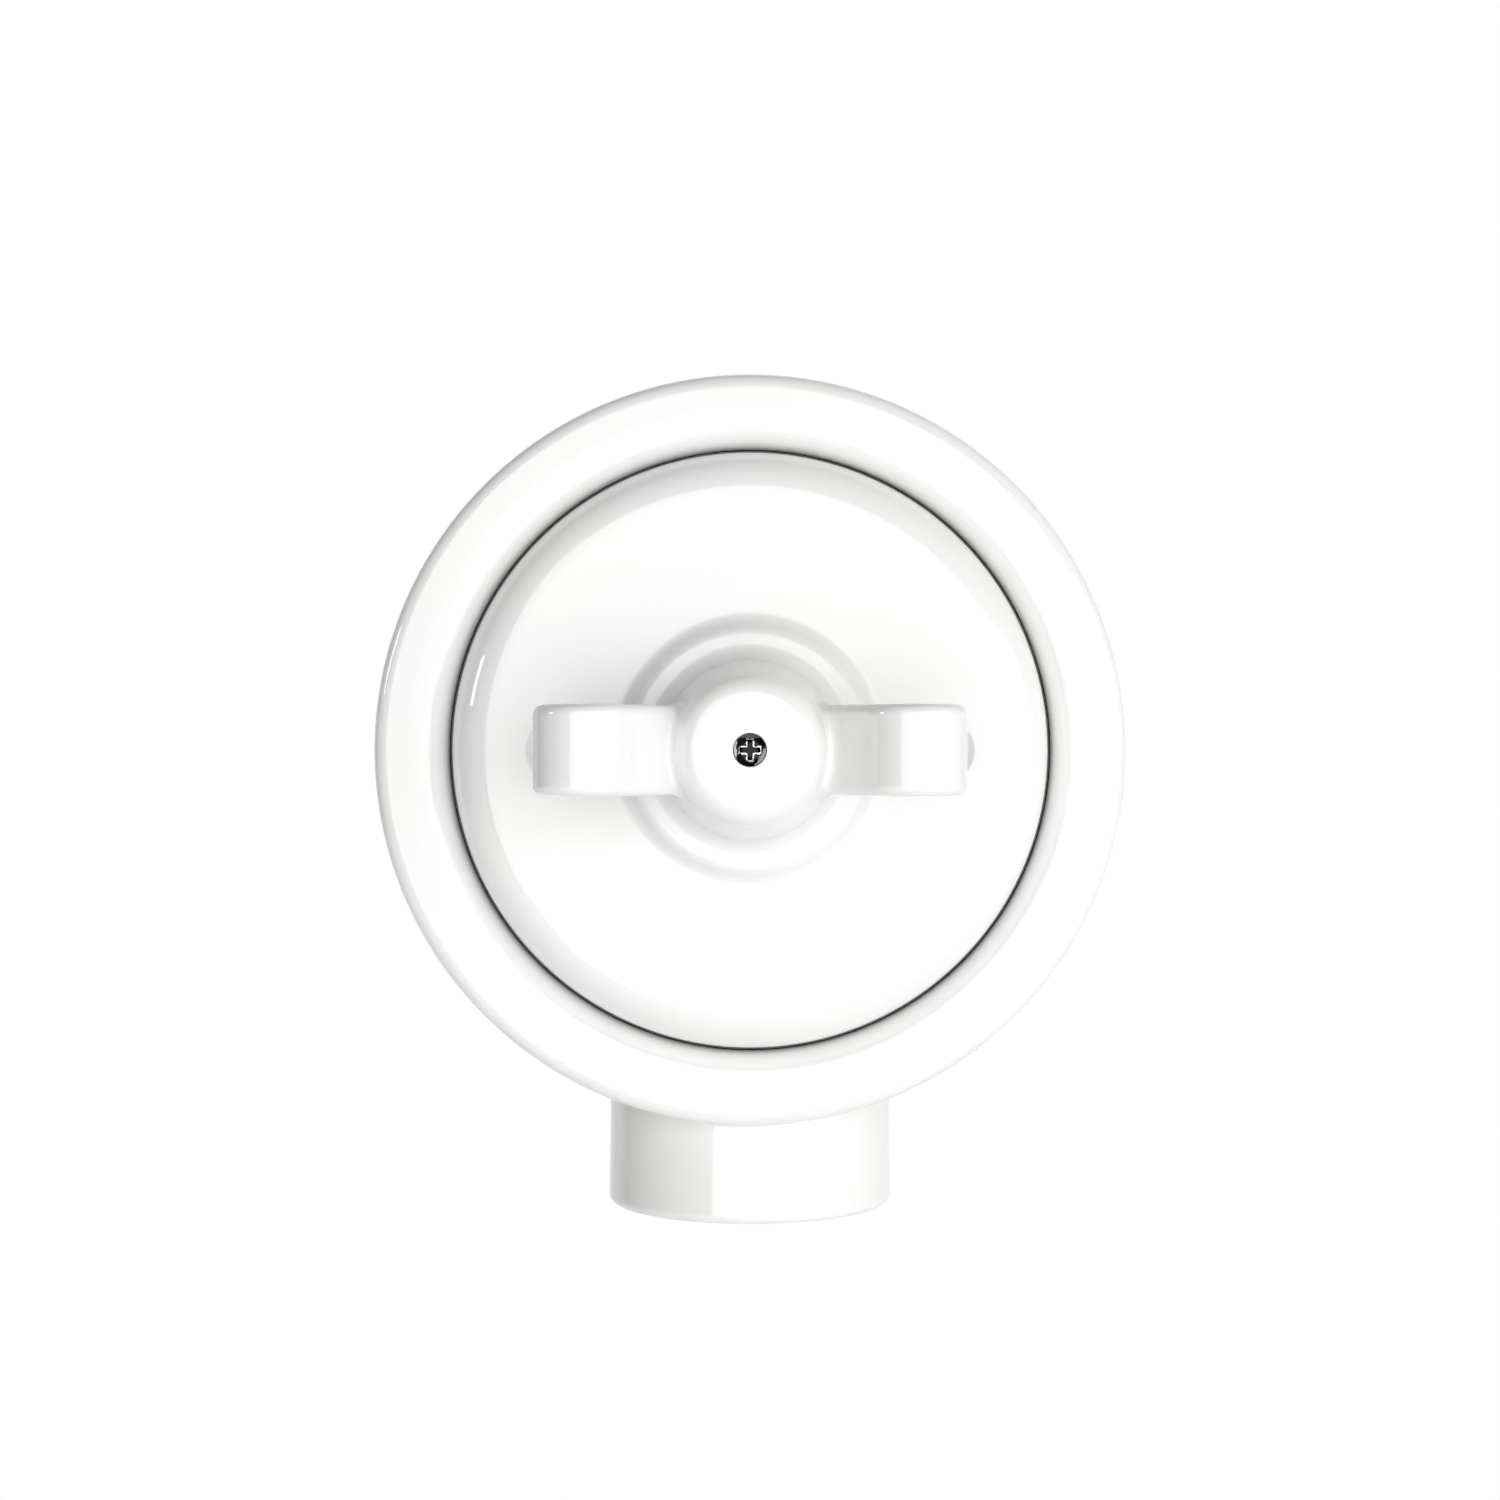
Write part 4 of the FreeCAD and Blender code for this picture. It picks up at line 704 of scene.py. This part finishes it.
def make_resin():
    """Dark moulded resin with a faint flow pattern and some dust."""
    finish = Finish("moulded_resin")
    drawn = finish.stretched((1.0, 1.0, 3.0))
    flow = finish.pattern(MOTTLE, drawn, Scale=180.0, Detail=5.0, Low=0.35, High=0.7)
    dust_and_shade = finish.pattern(SPECKS, Scale=1100.0, Size=0.2, Share=0.3)
    colour = finish.mix(flow, (0.032, 0.014, 0.009), (0.075, 0.032, 0.018))
    colour = finish.mix(dust_and_shade, colour, (0.16, 0.1, 0.07))
    return finish.wired(Base_Color=colour, Roughness=finish.between(flow, 0.22, 0.38),
                        Normal=finish.relief(flow, 0.000008))


def make_fibre():
    """Pressed red fibre, whose hairs all lie one way."""
    finish = Finish("red_fibre")
    drawn = finish.stretched((1.0, 1.0, 9.0))
    hairs = finish.pattern(MOTTLE, drawn, Scale=600.0, Detail=4.0, Low=0.35, High=0.65)
    colour = finish.mix(hairs, (0.20, 0.036, 0.022), (0.31, 0.075, 0.045))
    return finish.wired(Base_Color=colour, Roughness=finish.between(hairs, 0.7, 0.85),
                        Normal=finish.relief(hairs, 0.00002))


# %% [markdown]
# ## Metals
#
# The brass is turned and has begun to tarnish, the zinc on the steel shows pale flowers and fine
# scratches, and the springs are dark from tempering. On each metal the same pattern moves the
# colour and the roughness together, as a stain does on real metal. The screw's plating is dark. A
# painted highlight brightens it along the cross and at the sides of the head, and painted shading
# makes its upper rim a lighter grey.

# %% Metals
def make_metal(name, clean, stained, smooth, rough, marks):
    """A metal with its clean and stained colour, the roughness of both, and the way its marks run."""
    finish = Finish(name, Metallic=1.0)
    stain = finish.pattern(MOTTLE, Scale=130.0, Detail=5.0, Low=0.42, High=0.68)
    lines = finish.pattern(MOTTLE, finish.stretched(marks), Scale=500.0, Detail=3.0, Low=0.3, High=0.7)
    pits = finish.pattern(SPECKS, Scale=900.0, Size=0.18, Share=0.12)
    faint = finish.math("MULTIPLY", lines, 0.35)
    colour = finish.mix(faint, finish.mix(stain, clean, stained), stained)
    colour = finish.mix(pits, colour, [part * 0.45 for part in stained])
    shine = finish.between(stain, finish.between(lines, smooth, (smooth + rough) / 2), rough)
    return finish.wired(Base_Color=colour, Roughness=shine, Normal=finish.relief(lines, 0.000004))


def make_dark_nickel():
    """The screw's dark plating, with painted highlights along the cross and at its sides, and painted
    rim shading.
    """
    finish = Finish("dark_nickel", Metallic=1.0)
    place = finish.put("SeparateXYZ", Vector=finish.place).outputs
    across, upward = finish.math("ABSOLUTE", place["X"]), finish.math("ABSOLUTE", place["Z"])
    nearer, farther = finish.math("MINIMUM", across, upward), finish.math("MAXIMUM", across, upward)
    # Painted highlights: a ragged band along the cross's rim and patches at the left and right of the
    # head are painted bright, for light caught there.
    beside = finish.math("SUBTRACT", nearer, (S.cross_half + 0.02) * MM)
    beyond = finish.math("SUBTRACT", farther, (S.cross_reach + 0.05) * MM)
    smudge = finish.pattern(MOTTLE, Scale=900.0, Detail=3.0, Low=0.35, High=0.7)
    glint_edge_noise = finish.pattern(MOTTLE, Scale=2200.0, Detail=2.0, Low=0.35, High=0.65)
    near_cross = finish.math("COMPARE", finish.math("MAXIMUM", beside, beyond), 0.0,
                             finish.between(glint_edge_noise, 0.02 * MM, 0.17 * MM))
    in_front = finish.math("LESS_THAN", place["Y"], -(S.head_top - 0.35) * MM)
    cross = finish.math("MULTIPLY", near_cross, in_front)
    left_rim = finish.math("LESS_THAN", place["X"], finish.between(glint_edge_noise, -1.75 * MM, -1.6 * MM))
    lean = finish.put("VectorMath", {"operation": "DOT_PRODUCT"}, n0=finish.place, n1=(0.87, 0, -0.5))
    right_rim = finish.math("GREATER_THAN", lean.outputs["Value"],
                            finish.between(glint_edge_noise, 1.35 * MM, 1.6 * MM))
    painted_glints = finish.math("MAXIMUM", cross, finish.math("MAXIMUM", left_rim, right_rim))
    # Painted shading: the head's upper rim is painted a lighter grey than the rest of the plating.
    painted_rim_shading = finish.math("GREATER_THAN", place["Z"], 1.5 * MM)
    plating = finish.mix(painted_rim_shading, (0.02, 0.021, 0.023), (0.26, 0.26, 0.27))
    colour = finish.mix(painted_glints, plating, (0.85, 0.85, 0.86))
    return finish.wired(Base_Color=colour, Roughness=finish.between(smudge, 0.07, 0.2),
                        Normal=finish.relief(smudge, 0.000002))


# %% Give out the materials
finishes = {
    "porcelain": make_porcelain(),
    "bare_ceramic": make_bare_ceramic(),
    "brass": make_metal("turned_brass", clean=(0.78, 0.56, 0.25), stained=(0.50, 0.31, 0.12),
                        smooth=0.18, rough=0.45, marks=(1, 12, 1)),
    "zinc_steel": make_metal("zinc_on_steel", clean=(0.66, 0.67, 0.68), stained=(0.50, 0.51, 0.50),
                             smooth=0.22, rough=0.5, marks=(6, 1, 1)),
    "spring_steel": make_metal("tempered_spring", clean=(0.30, 0.31, 0.36), stained=(0.19, 0.15, 0.13),
                               smooth=0.2, rough=0.4, marks=(10, 1, 1)),
    "chrome": make_dark_nickel(),
    "phenolic": make_resin(),
    "fibre": make_fibre(),
}
slot_of = {row["node"]: row["material_slot"] for row in frame["record"]["subparts"]}
dressed = [(node, slot_of[name]) for name, node in frame["nodes"].items()]
dressed += [(box, "porcelain"), (cover, "porcelain"), (knob, "porcelain"), (screw, "chrome")]
for piece, slot in dressed:
    piece.data.materials.clear()
    piece.data.materials.append(finishes[slot])
print(len(finishes), "finishes are in use")


# %% [markdown]
# ## Floor and room
#
# The switch hangs in front of plain white, above a pale floor that takes its shadow. The camera and
# the reflections see the floor fade to the white of the background, while the light that it gives
# back stays the same. In reflections it then fades into the room, so no hard horizon shows in the
# glaze. The room is white at the lower right and grey at the upper left, which gives the round
# edges their shading. Behind the switch stands the white background, which only the camera and the
# reflections see.

# %% Floor
def make_floor(height=-0.6, reach=6.0):
    """A wide plane under the switch. All lengths of the room are in metres."""
    mesh = bmesh.new()
    bmesh.ops.create_grid(mesh, x_segments=1, y_segments=1, size=reach,
                          matrix=Matrix.Translation((0, 0, height)))
    made = as_object("floor", mesh)
    finish = Finish("pale_floor", Roughness=0.9)
    tone = finish.pattern(MOTTLE, Scale=3.0, Detail=4.0, Low=0.3, High=0.7)
    distance = finish.put("VectorMath", {"operation": "LENGTH"}, n0=finish.place).outputs["Value"]
    path = finish.put("LightPath").outputs
    seen = finish.math("MAXIMUM", path["Is Camera Ray"], path["Is Transmission Ray"])
    seen = finish.math("MAXIMUM", seen, path["Is Glossy Ray"])
    share = finish.math("MULTIPLY", finish.ramp(distance, 0.7, 1.6, lowest=0.6), seen)
    white = finish.put("Emission").outputs[0]
    shown = finish.put("MixShader", n0=share, n1=finish.shader.outputs[0], n2=white).outputs[0]
    gone = finish.math("MULTIPLY", finish.ramp(distance, 0.8, 4.0), path["Is Glossy Ray"])
    clear = finish.put("BsdfTransparent").outputs[0]
    shown = finish.put("MixShader", n0=gone, n1=shown, n2=clear).outputs[0]
    finish.wired(Base_Color=finish.mix(tone, (0.84, 0.84, 0.84), (0.87, 0.87, 0.87)))
    finish.tree.links.new(shown, finish.tree.nodes["Material Output"].inputs["Surface"])
    made.data.materials.append(finish.material)


make_floor()


# %% Room
def make_room():
    """The world around the switch: soft light, and white behind for the camera."""
    world = bpy.data.worlds.new("room")
    scene.world = world
    world.use_nodes = True
    tree = world.node_tree

    def towards(direction, limits, strength):
        """How much the way that a ray takes leads in a direction, as a strength."""
        way = put(tree, "TexCoord").outputs["Generated"]
        lean = put(tree, "VectorMath", {"operation": "DOT_PRODUCT"}, n0=way, n1=direction)
        made = put(tree, "MapRange", SOFT, Value=lean.outputs["Value"], From_Min=limits[0],
                   From_Max=limits[1], To_Min=strength[0], To_Max=strength[1])
        return made.outputs["Result"]

    def math_step(operation, first, second):
        """One step of arithmetic on masks."""
        return put(tree, "Math", {"operation": operation}, n0=first, n1=second).outputs[0]

    light = towards((0.75, 0.3, -0.6), (-0.6, 0.4), (0.1, 0.8))
    path = put(tree, "LightPath").outputs
    behind = math_step("MULTIPLY", path["Is Glossy Ray"], towards((0, 1, 0), (0.4, 0.75), (0, 1)))
    seen = math_step("MAXIMUM", path["Is Camera Ray"], path["Is Transmission Ray"])
    shown = math_step("MAXIMUM", light, math_step("MAXIMUM", seen, behind))
    tree.links.new(shown, tree.nodes["Background"].inputs["Color"])


make_room()


# %% [markdown]
# ## Light
#
# One large soft light stands in front. Its left edge draws the crisp border of the reflection on
# the cover, the spout and the ears. A second one goes on to the right of it, and a third lights the
# underside. A small bright one at the upper left gives the short streaks on the cover's edge and on
# the ring's edge. A light straight behind the switch reaches its back only, and reflections leave
# it out. All places are in metres from the middle of the switch.

# %% Lights
def soft_light(name, place, target, width, height, radiance):
    """A flat soft light of a given brightness that faces the target."""
    data = bpy.data.lights.new(name, "AREA")
    data.shape = "RECTANGLE"
    data.size, data.size_y = width, height
    data.energy = math.pi * width * height * radiance
    made = bpy.data.objects.new(name, data)
    scene.collection.objects.link(made)
    made.location = place
    made.rotation_euler = (Vector(target) - Vector(place)).to_track_quat("-Z", "Y").to_euler()
    made.visible_camera = False
    return made


middle = Vector((0, -0.05, 0))
left, right, low, high, away = -0.72, 0.95, -0.42, 0.70, 1.2
front = middle + Vector(((left + right) / 2, -away, (low + high) / 2))
soft_light("front", front, front + Vector((0, 1, 0)), right - left, high - low, 1.78)
soft_light("right", middle + Vector((1.2, -0.85, 0.1)), middle + Vector((0, 0, 0.1)), 1.0, 1.0, 1.15)
soft_light("under", middle + Vector((0.2, -0.75, -0.40)), middle, 1.3, 0.3, 1.4)
behind = soft_light("behind", middle + Vector((0, 1.3, 0.15)), middle, 1.0, 0.8, 2.4)
behind.visible_glossy = False
soft_light("streak", middle + Vector((-0.95, -0.20, 0.24)), middle, 0.14, 0.18, 6.5)


# %% [markdown]
# ## Camera and end
#
# The photograph looks straight at the knob from close by, so the camera stands on the switch's axis
# at 378 mm from the wall.

# %% Camera
EYE = 378.0
lens = bpy.data.cameras.new("camera")
lens.lens = 60.48
lens.sensor_width = 36.0
lens.clip_start = 0.01
camera = bpy.data.objects.new("camera", lens)
camera.location = (0, -EYE * MM, 0)
camera.rotation_euler = (math.pi / 2, 0, 0)
scene.collection.objects.link(camera)
scene.camera = camera
scene.view_settings.view_transform = "Standard"
